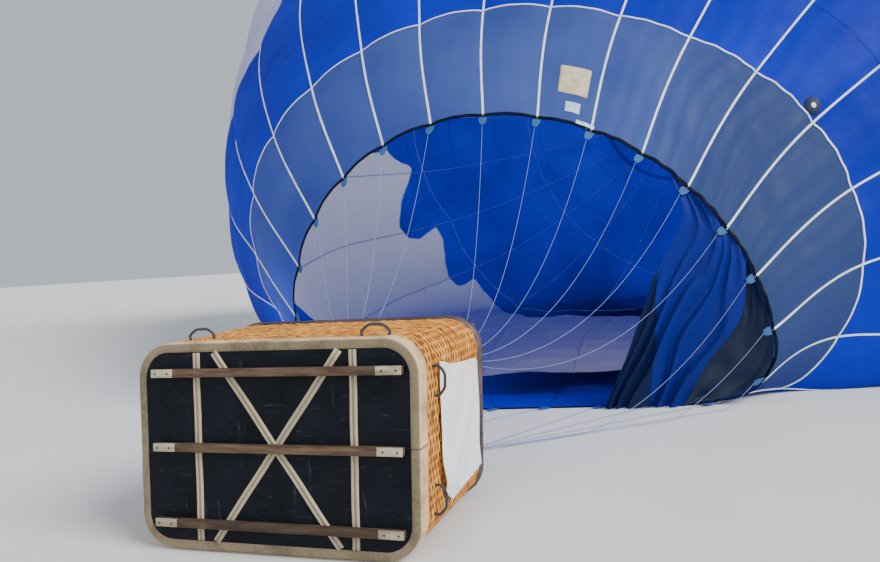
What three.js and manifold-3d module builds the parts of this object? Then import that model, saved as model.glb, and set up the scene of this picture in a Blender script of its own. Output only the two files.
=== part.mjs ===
// Hot air balloon laid out for inflation: the basket on its side, the burner in its frame,
// the flying wires and the envelope, filled with cold air and still lying on the ground.
// Millimetres, +Z up, +Y from the basket's underside to the crown of the envelope.
import * as THREE from 'three';
import { mergeVertices } from 'three/addons/utils/BufferGeometryUtils.js';
import Module from 'manifold-3d';

const wasm = await Module();
wasm.setup();

// Driving dimensions
const seam = 0.3;                       // gap between pieces that touch

const envelope = {
  gores: 24,
  firstSeam: 0.13,                      // gores from the top of a section to its first seam
  skin: 10,
  ventGap: 0.6,
  groundBlend: 250,                     // half height over which the side curves into the floor
  swell: 0.045,                         // rise of a gore between its seams, as a share of its width
  fullSwell: 1500,                      // height above which the ground no longer flattens it
  // Stations are counted in sections, so 1 is the ring tape and 9 the edge of the crown opening.
  bandStations: [0, 1 / 3, 2 / 3, 1],
  goreStations: [...spread(1, 8.5, 15), 8.8, 9],
  ventStations: [8.8, 9, 9.3, 9.6, 9.85, 10],
};
const ringTape = 1;
const columnsPerGore = 4;

// Cross-sections of the envelope, from the mouth to the crown. Each one is an oval that the
// ground flattens. y: station, x: middle, half: half width, waist: height of the widest line,
// top and low: heights of the oval's ends, back: how far the low end lies behind the top one,
// side: how far the +X side lies behind the middle, lean: how far the top lies towards +X.
const sections = [
  { y: 3750, x: 800, half: 2510, waist: 760, top: 3180, low: -420, back: 310, side: 290, lean: -335 },
  { y: 4890, x: 695, half: 3605, waist: 1920, top: 4660, low: -715, back: -125, side: 45, lean: -435 },
  { y: 7185, x: 710, half: 5650, waist: 2570, top: 7465, low: -2000, back: -925, side: -665, lean: -530 },
  { y: 10155, x: 930, half: 7735, waist: 4075, top: 10095, low: -1935, back: 655, side: -140, lean: -120 },
  { y: 12340, x: 1240, half: 9160, waist: 5005, top: 12510, low: -2200, back: 575, side: -355, lean: -105 },
  { y: 14800, x: 1850, half: 9700, waist: 5750, top: 14200, low: -1800, back: 900, side: -550, lean: 0 },
  { y: 17100, x: 2400, half: 9300, waist: 6050, top: 14100, low: -1100, back: 1200, side: -600, lean: 0 },
  { y: 19100, x: 2900, half: 7600, waist: 6200, top: 12700, low: 100, back: 1200, side: -450, lean: 0 },
  { y: 20600, x: 3250, half: 5150, waist: 6200, top: 10800, low: 1800, back: 900, side: -300, lean: 0 },
  { y: 21400, x: 3450, half: 2550, waist: 6200, top: 8550, low: 3900, back: 450, side: -150, lean: 0 },
  { y: 21700, x: 3500, half: 0, waist: 6200, top: 6200, low: 6200, back: 0, side: 0, lean: 0 },
];

const rope = { diameter: 18 };

const basket = {
  middleX: -36,
  length: 1832,                         // along X, at the floor
  width: 1260,                          // along Z, because the basket lies on its long side
  depth: 1120,                          // wicker wall, along Y
  corner: 210,
  wall: 35,
  board: 18,
  flare: 5.85e-5,                       // how much wider it gets along X, for each mm towards the rim
  rack: 0.0486,                         // how far it leans towards +X for each unit of height
  lift: rope.diameter + 2 * seam,       // the rope handles under it keep it off the ground
};
basket.midZ = basket.lift + basket.width / 2;

const band = { face: 50, depth: 120, thickness: 4 };
const batten = {
  width: 46, thickness: 12, upright: [-501, 526], crossed: [[-379, 429], [441, -393]],
};
const runner = { height: 50, proud: 40, from: -794, to: 835, offsets: [458, 5, -461] };
const rim = { inside: 60, depth: 86 };
const handle = {
  span: 170, rise: 66, steps: 14, rowX: [-611, 588], rowY: [230, 180], endZ: 350, endY: 240,
};
const cylinder = { radius: 150, length: 850, clear: 10 };
const banner = {                        // corners on the +X end: y, z
  corners: [[300, 1110], [320, 400], [430, 225], [1070, 250], [1070, 1015], [500, 1050]],
  thickness: 3,
};

// The burner's weight bends the uprights, so its frame hangs below the basket's middle.
const frame = {
  y: 2150, z: basket.midZ - 200, halfX: 540, halfZ: 400, corner: 90, tube: 19, block: 60, boss: 500,
};
const gimbal = { halfX: 470, halfZ: 300, corner: 60, tube: 13, pin: 8, reach: 260 };
const burner = { spacing: 380, can: 150, wall: 5, length: 340, base: 50, coil: 96, turns: 4 };
const upright = { foot: 34, head: 24, inset: 72 };
const wire = { radius: 3, plate: [12, 60, 44], depth: 16, pitch: 7 };
const crownTape = { width: 26, thickness: 4, stations: [8.9, 9, 9.3, 9.6, 9.89], tube: 12 };

// Materials
function finish(color, roughness, metalness = 0) {
  return new THREE.MeshStandardMaterial({ color, roughness, metalness });
}

const finishes = {
  blueFabric: finish(0x1a3fb4, 0.6),
  mouthBand: finish(0x5f7f9c, 0.7),
  wicker: finish(0xb4752f, 0.75),
  board: finish(0x15171f, 0.6),
  suede: finish(0xa99f8e, 0.9),
  weatheredWood: finish(0x8b8577, 0.8),
  leather: finish(0x33221b, 0.55),
  rope: finish(0x151515, 0.9),
  steel: finish(0xb9bcc0, 0.3, 1),
  paddedSleeve: finish(0x2c2521, 0.8),
  cylinderMetal: finish(0xa8abad, 0.35, 1),
  whiteCloth: finish(0xe8e8e4, 0.8),
  cable: finish(0xc9cdd2, 0.35, 0.8),
  webbing: finish(0xe4e6e8, 0.8),
};

const balloon = new THREE.Group();

function add(name, geometry, material) {
  const mesh = new THREE.Mesh(geometry, material);
  mesh.name = name;
  balloon.add(mesh);
  return mesh;
}

// The basket widens a little towards its rim, and leans because the wicker gives as it lies.
function asItLies(point) {
  const wider = 1 + basket.flare * Math.max(point.y, 0);
  return point.setX(basket.middleX + point.x * wider + basket.rack * point.z);
}

function addToBasket(name, geometry, material) {
  const { position } = geometry.attributes;
  for (let i = 0; i < position.count; i += 1) {
    const { x, y, z } = asItLies(new THREE.Vector3().fromBufferAttribute(position, i));
    position.setXYZ(i, x, y, z);
  }
  return add(name, geometry, material);
}

// Closed surfaces from points and triangles, turned so that they face outwards.
function signedVolume(points, faces) {
  const a = new THREE.Vector3();
  return faces.reduce((sum, [i, j, k]) => sum + a.crossVectors(points[i], points[j]).dot(points[k]), 0);
}

function fromFaces(points, faces) {
  const outward = signedVolume(points, faces) > 0;
  const geometry = new THREE.BufferGeometry();
  geometry.setAttribute('position', new THREE.Float32BufferAttribute(
    points.flatMap((p) => [p.x, p.y, p.z]), 3));
  geometry.setIndex(faces.flatMap(([i, j, k]) => (outward ? [i, j, k] : [i, k, j])));
  return geometry;
}

// Rows of points; the last row joins the first and the last column the first.
function closedGrid(rows) {
  const columns = rows[0].length;
  const points = rows.flat();
  const faces = [];
  for (let r = 0; r < rows.length; r += 1) {
    const next = (r + 1) % rows.length;
    for (let c = 0; c < columns; c += 1) {
      const right = (c + 1) % columns;
      const [p, q] = [r * columns + c, r * columns + right];
      const [s, t] = [next * columns + right, next * columns + c];
      faces.push([p, q, s], [p, s, t]);
    }
  }
  return fromFaces(points, faces);
}

// A sheet with a thickness: outer and inner are rows of points of the same size. A round one
// joins its last column to its first, and one with a pole ends in a single point.
function shell(outer, inner, { round = false, pole = false } = {}) {
  const rowCount = outer.length;
  const columns = outer[0].length;
  const points = [...outer.flat(), ...inner.flat()];
  const half = rowCount * columns;
  const index = (side, r, c) => {
    const column = pole && r === rowCount - 1 ? 0 : c % columns;
    return side * half + r * columns + column;
  };
  const faces = [];
  const quad = (a, b, c, d) => {
    for (const face of [[a, b, c], [a, c, d]]) {
      if (new Set(face).size === 3) faces.push(face);
    }
  };
  const lastColumn = round ? columns : columns - 1;
  for (let r = 0; r < rowCount - 1; r += 1) {
    for (let c = 0; c < lastColumn; c += 1) {
      quad(index(0, r, c), index(0, r, c + 1), index(0, r + 1, c + 1), index(0, r + 1, c));
      quad(index(1, r, c), index(1, r + 1, c), index(1, r + 1, c + 1), index(1, r, c + 1));
    }
  }
  // Both faces of a seam are split along the same diagonal, so that they never cross.
  const turnedOver = ([a, b, c, d]) => [c, b, a, d];
  const ends = pole ? [0] : [0, rowCount - 1];
  for (const r of ends) {
    for (let c = 0; c < lastColumn; c += 1) {
      const edge = [index(0, r, c), index(1, r, c), index(1, r, c + 1), index(0, r, c + 1)];
      quad(...(r === 0 ? edge : turnedOver(edge)));
    }
  }
  if (!round) {
    for (const c of [0, columns - 1]) {
      for (let r = 0; r < rowCount - 1; r += 1) {
        const edge = [index(0, r, c), index(0, r + 1, c), index(1, r + 1, c), index(1, r, c)];
        quad(...(c === 0 ? edge : turnedOver(edge)));
      }
    }
  }
  const used = [...new Set(faces.flat())].sort((a, b) => a - b);
  const renumber = new Map(used.map((old, i) => [old, i]));
  return fromFaces(used.map((i) => points[i]), faces.map((face) => face.map((i) => renumber.get(i))));
}

// Joining pieces
function toManifold(geometry) {
  const bare = geometry.clone();
  bare.deleteAttribute('normal');
  bare.deleteAttribute('uv');
  const merged = mergeVertices(bare, 1e-3);
  return new wasm.Manifold(new wasm.Mesh({
    numProp: 3,
    vertProperties: new Float32Array(merged.attributes.position.array),
    triVerts: new Uint32Array(merged.index.array),
  }));
}

function joined(geometries) {
  const whole = geometries.map(toManifold).reduce((sum, piece) => sum.add(piece));
  const { vertProperties, triVerts } = whole.getMesh();
  const geometry = new THREE.BufferGeometry();
  geometry.setAttribute('position', new THREE.BufferAttribute(new Float32Array(vertProperties), 3));
  geometry.setIndex(new THREE.BufferAttribute(new Uint32Array(triVerts), 1));
  return geometry;
}

// Plain shapes in place
function block(sizeX, sizeY, sizeZ, x, y, z) {
  return new THREE.BoxGeometry(sizeX, sizeY, sizeZ).translate(x, y, z);
}

function rod(from, to, radiusFrom, radiusTo = radiusFrom, sides = 12) {
  const along = new THREE.Vector3().subVectors(to, from);
  const geometry = new THREE.CylinderGeometry(radiusTo, radiusFrom, along.length(), sides);
  const turn = new THREE.Quaternion().setFromUnitVectors(
    new THREE.Vector3(0, 1, 0), along.clone().normalize());
  return geometry.applyQuaternion(turn).translate(
    ...new THREE.Vector3().addVectors(from, to).multiplyScalar(0.5).toArray());
}

// A profile of [radius, y] pairs turned about an axis along +Y.
function turned(profile, x, z, sides = 20) {
  const points = profile.map(([radius, y]) => new THREE.Vector2(radius, y));
  return new THREE.LatheGeometry(points, sides).translate(x, 0, z);
}

function circleShape(radius, sides) {
  const angles = Array.from({ length: sides }, (_, i) => (2 * Math.PI * i) / sides);
  return new THREE.Shape(angles.map((a) => new THREE.Vector2(radius * Math.cos(a), radius * Math.sin(a))));
}

function tube(points, radius, steps, sides = 8) {
  const extrudePath = new THREE.CatmullRomCurve3(points);
  return new THREE.ExtrudeGeometry(circleShape(radius, sides), { steps, extrudePath });
}

// Rounded rectangle in the XZ plane about its middle: points with outward normals.
function roundedLoop(halfX, halfZ, corner, steps = 5) {
  const loop = [];
  const quarters = [[1, 1], [-1, 1], [-1, -1], [1, -1]];
  quarters.forEach(([sideX, sideZ], quarter) => {
    for (let i = 0; i <= steps; i += 1) {
      const angle = ((quarter + i / steps) * Math.PI) / 2;
      const normal = new THREE.Vector3(Math.cos(angle), 0, Math.sin(angle));
      const centre = new THREE.Vector3(sideX * (halfX - corner), 0, sideZ * (halfZ - corner));
      loop.push({ at: centre.addScaledVector(normal, corner), normal });
    }
  });
  return loop;
}

// A section of [outward, y] pairs carried round a rounded rectangle.
function carriedRound(loop, section, middleZ = basket.midZ) {
  const rows = loop.map(({ at, normal }) => section.map(([outward, y]) => new THREE.Vector3(
    at.x + outward * normal.x, y, middleZ + at.z + outward * normal.z)));
  return closedGrid(rows);
}

function ovalSection(outward, y, halfOut, halfY, sides) {
  return Array.from({ length: sides }, (_, i) => {
    const angle = (2 * Math.PI * i) / sides;
    return [outward + halfOut * Math.cos(angle), y + halfY * Math.sin(angle)];
  });
}

// Envelope surface
function cubic(a, b, c, d, u) {
  return 0.5 * (2 * b + (c - a) * u + (2 * a - 5 * b + 4 * c - d) * u * u
    + (3 * b - a - 3 * c + d) * u * u * u);
}

function sectionAt(t) {
  const i = Math.min(Math.floor(t), sections.length - 2);
  const u = t - i;
  const before = sections[i - 1] ?? sections[i];
  const after = sections[i + 2] ?? sections[i + 1];
  const mix = {};
  for (const key of Object.keys(sections[0])) {
    mix[key] = cubic(before[key], sections[i][key], sections[i + 1][key], after[key], u);
  }
  return mix;
}

function liftedByGround(z) {
  const blend = envelope.groundBlend;
  if (z < -blend) return 0;
  return z < blend ? (z + blend) ** 2 / (4 * blend) : z;
}

// One cross-section as a fine outline, with its girth, so that gores share it by arc length.
const outlines = new Map();
function outlineAt(t) {
  if (outlines.has(t)) return outlines.get(t);
  const s = sectionAt(t);
  const points = [];
  const girth = [0];
  for (let i = 0; i <= 720; i += 1) {
    const angle = (Math.PI * i) / 360;
    const [cos, sin] = [Math.cos(angle), Math.sin(angle)];
    const reach = cos > 0 ? s.top - s.waist : s.waist - s.low;
    const point = new THREE.Vector3(
      s.x + s.half * sin + s.lean * cos,
      s.y + (s.back * (1 - cos)) / 2 + s.side * sin,
      liftedByGround(s.waist + reach * cos));
    if (i > 0) {
      const last = points[i - 1];
      girth.push(girth[i - 1] + Math.hypot(point.x - last.x, point.z - last.z));
    }
    points.push(point);
  }
  const outline = { points, girth, total: girth[720] };
  outlines.set(t, outline);
  return outline;
}

// The point at share f of the girth, from the top towards +X.
function onEnvelope(t, f) {
  const { points, girth, total } = outlineAt(t);
  const wanted = (((f % 1) + 1) % 1) * total;
  let low = 0;
  let high = girth.length - 1;
  while (high - low > 1) {
    const middle = (low + high) >> 1;
    if (girth[middle] > wanted) high = middle;
    else low = middle;
  }
  const share = total > 0 ? (wanted - girth[low]) / (girth[high] - girth[low]) : 0;
  return points[low].clone().lerp(points[high], share);
}

function envelopeNormal(t, f) {
  const lastRow = sections.length - 1;
  if (t > lastRow - 1e-6) return new THREE.Vector3(0, 1, 0);
  const dt = 0.02;
  const df = 0.002;
  const along = onEnvelope(Math.min(t + dt, lastRow - 0.01), f).sub(onEnvelope(Math.max(t - dt, 0), f));
  const around = onEnvelope(t, f + df).sub(onEnvelope(t, f - df));
  return around.cross(along).normalize();
}

function seamShare(gore) {
  return (gore + envelope.firstSeam) / envelope.gores;
}

// How far the fabric stands off the line between its seams, in even steps across a gore.
function swellAt(t, f, height) {
  const gore = f * envelope.gores - envelope.firstSeam;
  const column = (gore - Math.floor(gore)) * columnsPerGore;
  const rise = (i) => (4 * i * (columnsPerGore - i)) / columnsPerGore ** 2;
  const i = Math.floor(column);
  const profile = rise(i) + (rise(i + 1) - rise(i)) * (column - i);
  const width = outlineAt(t).total / envelope.gores;
  return envelope.swell * width * profile * Math.min(height / envelope.fullSwell, 1);
}

function offEnvelope(t, f, outward) {
  const point = onEnvelope(t, f);
  return point.addScaledVector(envelopeNormal(t, f), outward + swellAt(t, f, point.z));
}

function spread(from, to, count) {
  return Array.from({ length: count + 1 }, (_, i) => from + ((to - from) * i) / count);
}

// A stretch of the skin between two gore lines, with half a seam kept free on each edge.
function skinPanel(from, goreFrom, goreTo) {
  const stations = [...from];
  const trim = seam / 2 / onEnvelope(0.95, 0).distanceTo(onEnvelope(1.05, 0)) / 10;
  if (stations[0] === ringTape) stations[0] += trim;
  if (stations.at(-1) === ringTape) stations[stations.length - 1] -= trim;
  const shares = spread(goreFrom, goreTo, (goreTo - goreFrom) * columnsPerGore);
  const rows = (outward) => stations.map((t) => shares.map((gore, i) => {
    const half = seam / 2 / outlineAt(t).total;
    const inset = i === 0 ? half : i === shares.length - 1 ? -half : 0;
    return offEnvelope(t, seamShare(gore) + inset, outward);
  }));
  return shell(rows(0), rows(-envelope.skin));
}

function makeEnvelope() {
  const quarter = envelope.gores / 4;
  for (let i = 0; i < 4; i += 1) {
    add(`mouth_band_${i + 1}`, skinPanel(envelope.bandStations, i * quarter, (i + 1) * quarter),
      finishes.mouthBand);
  }
  for (let i = 0; i < envelope.gores / 2; i += 1) {
    add(`gore_pair_${i + 1}`, skinPanel(envelope.goreStations, 2 * i, 2 * i + 2), finishes.blueFabric);
  }
}

// The parachute vent lies inside the crown opening and overlaps the gores' edge.
function makeVent() {
  const shares = spread(0, envelope.gores, envelope.gores * columnsPerGore).slice(0, -1).map(seamShare);
  const rows = (outward) => envelope.ventStations.map(
    (t) => shares.map((f) => offEnvelope(t, f, outward)));
  const outside = -envelope.skin - envelope.ventGap;
  add('parachute_vent', shell(rows(outside), rows(outside - envelope.skin), { round: true, pole: true }),
    finishes.blueFabric);
}

// The load tapes run on over the vent to the crown ring.
function makeCrownRing() {
  const pieces = [];
  const { stations } = crownTape;
  for (let gore = 0; gore < envelope.gores; gore += 1) {
    const rows = (outward) => stations.map((t) => [-1, 1].map((side) => {
      const share = seamShare(gore) + (side * crownTape.width) / 2 / outlineAt(t).total;
      return offEnvelope(t, share, outward);
    }));
    pieces.push(shell(rows(seam + crownTape.thickness), rows(seam)));
  }
  pieces.push(closedGrid(spread(0, envelope.gores, envelope.gores).slice(0, -1).map(ringSection)));
  add('crown_ring', joined(pieces), finishes.webbing);
}

// The ring's round section at one seam, half sunk into the end of the load tape.
function ringSection(gore) {
  const end = crownTape.stations.at(-1);
  const share = seamShare(gore);
  const centre = offEnvelope(end, share, seam + crownTape.tube * 0.7);
  const outward = centre.clone().sub(onEnvelope(sections.length - 1, share)).normalize();
  const up = envelopeNormal(end, share);
  return Array.from({ length: 8 }, (_, i) => {
    const angle = (Math.PI * i) / 4;
    return centre.clone().addScaledVector(outward, crownTape.tube * Math.cos(angle))
      .addScaledVector(up, crownTape.tube * Math.sin(angle));
  });
}

// Basket
function boardShape(inset) {
  const loop = roundedLoop(basket.length / 2 - inset, basket.width / 2 - inset, basket.corner - inset);
  return new THREE.Shape(loop.map(({ at }) => new THREE.Vector2(at.x, at.z)));
}

function makeBasket() {
  const floor = new THREE.ExtrudeGeometry(boardShape(0), { depth: basket.board, bevelEnabled: false });
  floor.rotateX(Math.PI / 2).translate(0, basket.board, basket.midZ);
  addToBasket('floor_board', floor, finishes.board);

  const outside = roundedLoop(basket.length / 2, basket.width / 2, basket.corner);
  const wallFoot = basket.board + seam;
  addToBasket('wicker_walls', carriedRound(outside, [
    [0, wallFoot], [0, basket.depth], [-basket.wall, basket.depth], [-basket.wall, wallFoot],
  ]), finishes.wicker);

  const skin = band.thickness + seam;
  addToBasket('suede_band', carriedRound(outside, [
    [-band.face, -skin], [skin, -skin], [skin, band.depth],
    [seam, band.depth], [seam, -seam], [-band.face, -seam],
  ]), finishes.suede);

  const halfDepth = rim.depth / 2;
  const halfOut = (rim.inside + basket.lift) / 2;
  addToBasket('padded_rim', carriedRound(outside, ovalSection(
    basket.lift - halfOut, basket.depth + seam + halfDepth, halfOut, halfDepth, 12)), finishes.leather);
}

function makeUnderside() {
  const battenY = -seam - batten.thickness / 2;
  const battenLength = basket.width - 2 * band.face - 10;
  ['batten_left', 'batten_right'].forEach((name, i) => {
    const { width, thickness, upright: places } = batten;
    addToBasket(name, block(width, thickness, battenLength, places[i], battenY, basket.midZ),
      finishes.suede);
  });
  const crossed = batten.crossed.map(([topX, lowX]) => {
    const length = Math.hypot(topX - lowX, battenLength) - batten.width;
    const strip = new THREE.BoxGeometry(batten.width, batten.thickness, length);
    strip.rotateY(Math.atan2(topX - lowX, battenLength));
    return strip.translate((topX + lowX) / 2, battenY, basket.midZ);
  });
  addToBasket('batten_cross', joined(crossed), finishes.suede);

  const runnerY = -2 * seam - batten.thickness - runner.proud / 2;
  const runnerNames = ['runner_top', 'runner_middle', 'runner_low'];
  runner.offsets.forEach((offset, i) => {
    const length = runner.to - runner.from;
    addToBasket(runnerNames[i], block(length, runner.proud, runner.height,
      (runner.from + runner.to) / 2, runnerY, basket.midZ + offset), finishes.weatheredWood);
  });
}

// A rope handle is a flat loop: out from the wall, round and back. The two under the basket
// are pressed flat between the wall and the ground.
function ropeHandle(centre, along, out) {
  const { span, rise } = handle;
  const place = (a, o) => centre.clone().addScaledVector(along, a).addScaledVector(out, o);
  const route = [
    place(-span / 2, 0), place(-span / 2, rise * 0.45), place(-span / 4, rise * 0.95),
    place(0, rise), place(span / 4, rise * 0.95), place(span / 2, rise * 0.45), place(span / 2, 0),
  ];
  return tube(route, rope.diameter / 2, handle.steps);
}

function makeHandles() {
  const [X, Y, Z] = [[1, 0, 0], [0, 1, 0], [0, 0, 1]].map((v) => new THREE.Vector3(...v));
  const halfLength = basket.length / 2;
  const top = basket.lift + basket.width + seam;
  const under = basket.lift / 2;
  const { rowX, rowY, endZ, endY } = handle;
  const rows = ['left', 'right'].flatMap((side, i) => [
    { name: `handle_top_${side}`, at: [rowX[i], rowY[i], top], along: X, out: Z },
    { name: `handle_under_${side}`, at: [rowX[i], rowY[i], under], along: X, out: Y },
  ]);
  for (const [side, out] of [['right', X], ['left', X.clone().negate()]]) {
    for (const [level, z] of [['high', basket.midZ + endZ], ['low', basket.midZ - endZ]]) {
      const at = [out.x * (halfLength + seam), endY, z];
      rows.push({ name: `handle_end_${side}_${level}`, at, along: Z, out });
    }
  }
  for (const { name, at, along, out } of rows) {
    addToBasket(name, ropeHandle(new THREE.Vector3(...at), along, out), finishes.rope);
  }
}

function makeBanner() {
  const x = basket.length / 2 + seam;
  const outline = new THREE.Shape(banner.corners.map(([y, z]) => new THREE.Vector2(y, z)));
  const cloth = new THREE.ExtrudeGeometry(outline, { depth: banner.thickness, bevelEnabled: false });
  const swap = new THREE.Matrix4().makeBasis(
    new THREE.Vector3(0, 1, 0), new THREE.Vector3(0, 0, 1), new THREE.Vector3(1, 0, 0));
  addToBasket('banner', cloth.applyMatrix4(swap).translate(x, 0, 0), finishes.whiteCloth);
}

function makeCylinders() {
  const x = basket.length / 2 - basket.wall - cylinder.clear - cylinder.radius;
  const z = basket.width / 2 - basket.wall - cylinder.clear - cylinder.radius;
  const foot = basket.board + seam;
  const { radius, length } = cylinder;
  const profile = [
    [0, foot], [radius * 0.7, foot], [radius * 0.7, foot + 30], [radius, foot + 70],
    [radius, foot + length - 130], [radius * 0.86, foot + length - 80], [radius * 0.5, foot + length - 50],
    [radius * 0.5, foot + length], [0, foot + length],
  ];
  [[-x, z], [x, z], [x, -z], [-x, -z]].forEach(([cx, cz], i) => {
    const centre = asItLies(new THREE.Vector3(cx, 0, basket.midZ + cz));
    add(`fuel_cylinder_${i + 1}`, turned(profile, centre.x, centre.z, 18), finishes.cylinderMetal);
  });
}

// Frame corners, in the order of the quarters of the mouth: from the top towards +X.
const corners = [[1, 1], [1, -1], [-1, -1], [-1, 1]].map(([sideX, sideZ]) => ({
  sideX, sideZ, x: sideX * (frame.halfX - 20), z: frame.z + sideZ * (frame.halfZ - 20),
}));

function makeUprights() {
  const foot = basket.depth + seam + rim.depth + seam;
  const head = frame.y - frame.block / 2 - seam;
  corners.forEach(({ sideX, sideZ, x, z }, i) => {
    const footX = sideX * (basket.length / 2 - upright.inset);
    const footZ = basket.midZ + sideZ * (basket.width / 2 - upright.inset);
    const cut = asItLies(new THREE.Vector3(footX, foot, footZ));
    add(`upright_${i + 1}`, uprightRod(cut, new THREE.Vector3(x, head, z)), finishes.paddedSleeve);
  });
}

// The sleeve's ends are square to the rim and the frame, so each is a turned disc, sheared.
function uprightRod(foot, head) {
  const ring = (centre, radius) => Array.from({ length: 12 }, (_, i) => {
    const angle = (Math.PI * i) / 6;
    return new THREE.Vector3(
      centre.x + radius * Math.cos(angle), centre.y, centre.z + radius * Math.sin(angle));
  });
  const along = (share) => foot.clone().lerp(head, share);
  const rows = [ring(foot, upright.foot), ring(along(0.12), upright.foot * 1.15),
    ring(along(0.85), upright.head * 1.15), ring(head, upright.head)];
  return capped(rows);
}

function capped(rows) {
  const columns = rows[0].length;
  const points = rows.flat();
  const faces = [];
  for (let r = 0; r < rows.length - 1; r += 1) {
    for (let c = 0; c < columns; c += 1) {
      const right = (c + 1) % columns;
      const [p, q] = [r * columns + c, r * columns + right];
      const [s, t] = [(r + 1) * columns + right, (r + 1) * columns + c];
      faces.push([p, q, s], [p, s, t]);
    }
  }
  const last = (rows.length - 1) * columns;
  for (let c = 1; c < columns - 1; c += 1) {
    faces.push([0, c + 1, c], [last, last + c, last + c + 1]);
  }
  return fromFaces(points, faces);
}

function makeFrame() {
  const { y, z: middleZ, halfX, halfZ, corner, tube: radius, boss } = frame;
  const pieces = [carriedRound(
    roundedLoop(halfX, halfZ, corner), ovalSection(0, y, radius, radius, 8), middleZ)];
  for (const { x, z } of corners) {
    pieces.push(block(frame.block, frame.block, frame.block, x, y, z));
  }
  for (const side of [-1, 1]) {
    const inner = new THREE.Vector3(side * boss, y, middleZ);
    const outer = new THREE.Vector3(side * halfX, y, middleZ);
    pieces.push(rod(inner, outer, radius * 1.1));
  }
  add('load_frame', joined(pieces), finishes.steel);
}

function makeGimbal() {
  const { halfX, halfZ, corner, tube: radius, pin, reach } = gimbal;
  const pieces = [carriedRound(roundedLoop(halfX, halfZ, corner),
    ovalSection(0, frame.y, radius, radius, 8), frame.z)];
  for (const side of [-1, 1]) {
    const ends = [
      [new THREE.Vector3(side * halfX, frame.y, frame.z),
        new THREE.Vector3(side * (frame.boss - seam), frame.y, frame.z)],
      [new THREE.Vector3(0, frame.y, frame.z + side * halfZ),
        new THREE.Vector3(0, frame.y, frame.z + side * (reach + seam))],
    ];
    for (const [from, to] of ends) pieces.push(rod(from, to, pin));
  }
  add('gimbal_ring', joined(pieces), finishes.steel);
}

function makeBurner() {
  const half = burner.spacing / 2;
  const canFoot = frame.y + burner.base;
  const parts = [
    block(50, 40, 2 * gimbal.reach, 0, frame.y, frame.z),
    block(burner.spacing + 120, 60, 70, 0, frame.y, frame.z),
  ];
  for (const side of [-1, 1]) {
    parts.push(
      rod(new THREE.Vector3(side * half, frame.y - 110, frame.z),
        new THREE.Vector3(side * half, canFoot - seam, frame.z), 45),
      block(30, 90, 130, side * (half + 30), frame.y - 60, frame.z - 60));
  }
  add('burner_block', joined(parts), finishes.steel);
  const { can, wall, length } = burner;
  for (const [name, side] of [['left', -1], ['right', 1]]) {
    add(`burner_can_${name}`, turned([
      [0, canFoot], [can * 0.75, canFoot], [can, canFoot + 60], [can, canFoot + length],
      [can - wall, canFoot + length], [can - wall, canFoot + 62], [can * 0.75 - 3, canFoot + wall],
      [0, canFoot + wall],
    ], side * half, frame.z, 24), finishes.steel);
    add(`burner_coil_${name}`, burnerCoil(side * half, canFoot + wall), finishes.steel);
  }
}

// The vaporising coil: four turns that rise from the can's base plate.
function burnerCoil(x, foot) {
  const { coil, turns, length } = burner;
  const radius = 9;
  const stepsPerTurn = 14;
  const rise = (length - 110) / turns;
  const start = foot + radius + seam;
  const route = [0, 12, 24].map((up) => new THREE.Vector3(x + coil, foot + seam + up, frame.z));
  for (let i = 1; i <= turns * stepsPerTurn; i += 1) {
    const angle = (2 * Math.PI * i) / stepsPerTurn;
    const y = start + 30 + (rise * i) / stepsPerTurn;
    route.push(new THREE.Vector3(x + coil * Math.cos(angle), y, frame.z + coil * Math.sin(angle)));
  }
  return tube(route, radius, turns * stepsPerTurn, 6);
}

// Flying wires: one fan to each quarter of the mouth, from a plate on the frame's corner.
function makeFlyingWires() {
  const perCorner = envelope.gores / 4;
  const [plateX, plateY, plateZ] = wire.plate;
  corners.forEach(({ sideX, x, z }, quarter) => {
    const plateFoot = frame.y + frame.block / 2 + seam;
    const pieces = [block(plateX, plateY, plateZ, x, plateFoot + plateY / 2, z)];
    for (let i = 0; i < perCorner; i += 1) {
      const share = seamShare(quarter * perCorner + i);
      const aside = sideX * wire.pitch * ((perCorner - 1) / 2 - i);
      const knot = new THREE.Vector3(x, plateFoot + plateY - wire.depth, z + aside);
      pieces.push(rod(knot, wireEnd(knot, share), wire.radius, wire.radius, 6));
    }
    add(`flying_wires_${quarter + 1}`, joined(pieces), finishes.cable);
  });
}

// Where a wire stops, just short of the mouth's edge, however slantwise it comes.
function wireEnd(knot, share) {
  const edge = offEnvelope(0, share, -envelope.skin / 2);
  const along = new THREE.Vector3().subVectors(onEnvelope(0, share + 0.002), onEnvelope(0, share - 0.002));
  const facing = along.cross(envelopeNormal(0, share)).normalize();
  const back = new THREE.Vector3().subVectors(knot, edge).normalize();
  const cos = Math.abs(facing.dot(back));
  const sin = Math.sqrt(1 - cos * cos);
  return edge.addScaledVector(back, (seam + wire.radius * sin) / cos + 0.2);
}

makeEnvelope();
makeVent();
makeCrownRing();
makeBasket();
makeUnderside();
makeHandles();
makeBanner();
makeCylinders();
makeUprights();
makeFrame();
makeGimbal();
makeBurner();
makeFlyingWires();

// The part's origin is on the ground under the middle of its length and width.
const middle = new THREE.Box3().setFromObject(balloon).getCenter(new THREE.Vector3());
balloon.position.set(-middle.x, -middle.y, 0);

export default balloon;
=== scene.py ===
# Hot air balloon laid out for inflation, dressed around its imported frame.
# Metres, +Y from the basket's underside to the crown, +Z up.
import math

import bpy
import numpy as np
from mathutils import Matrix, Vector


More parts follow.
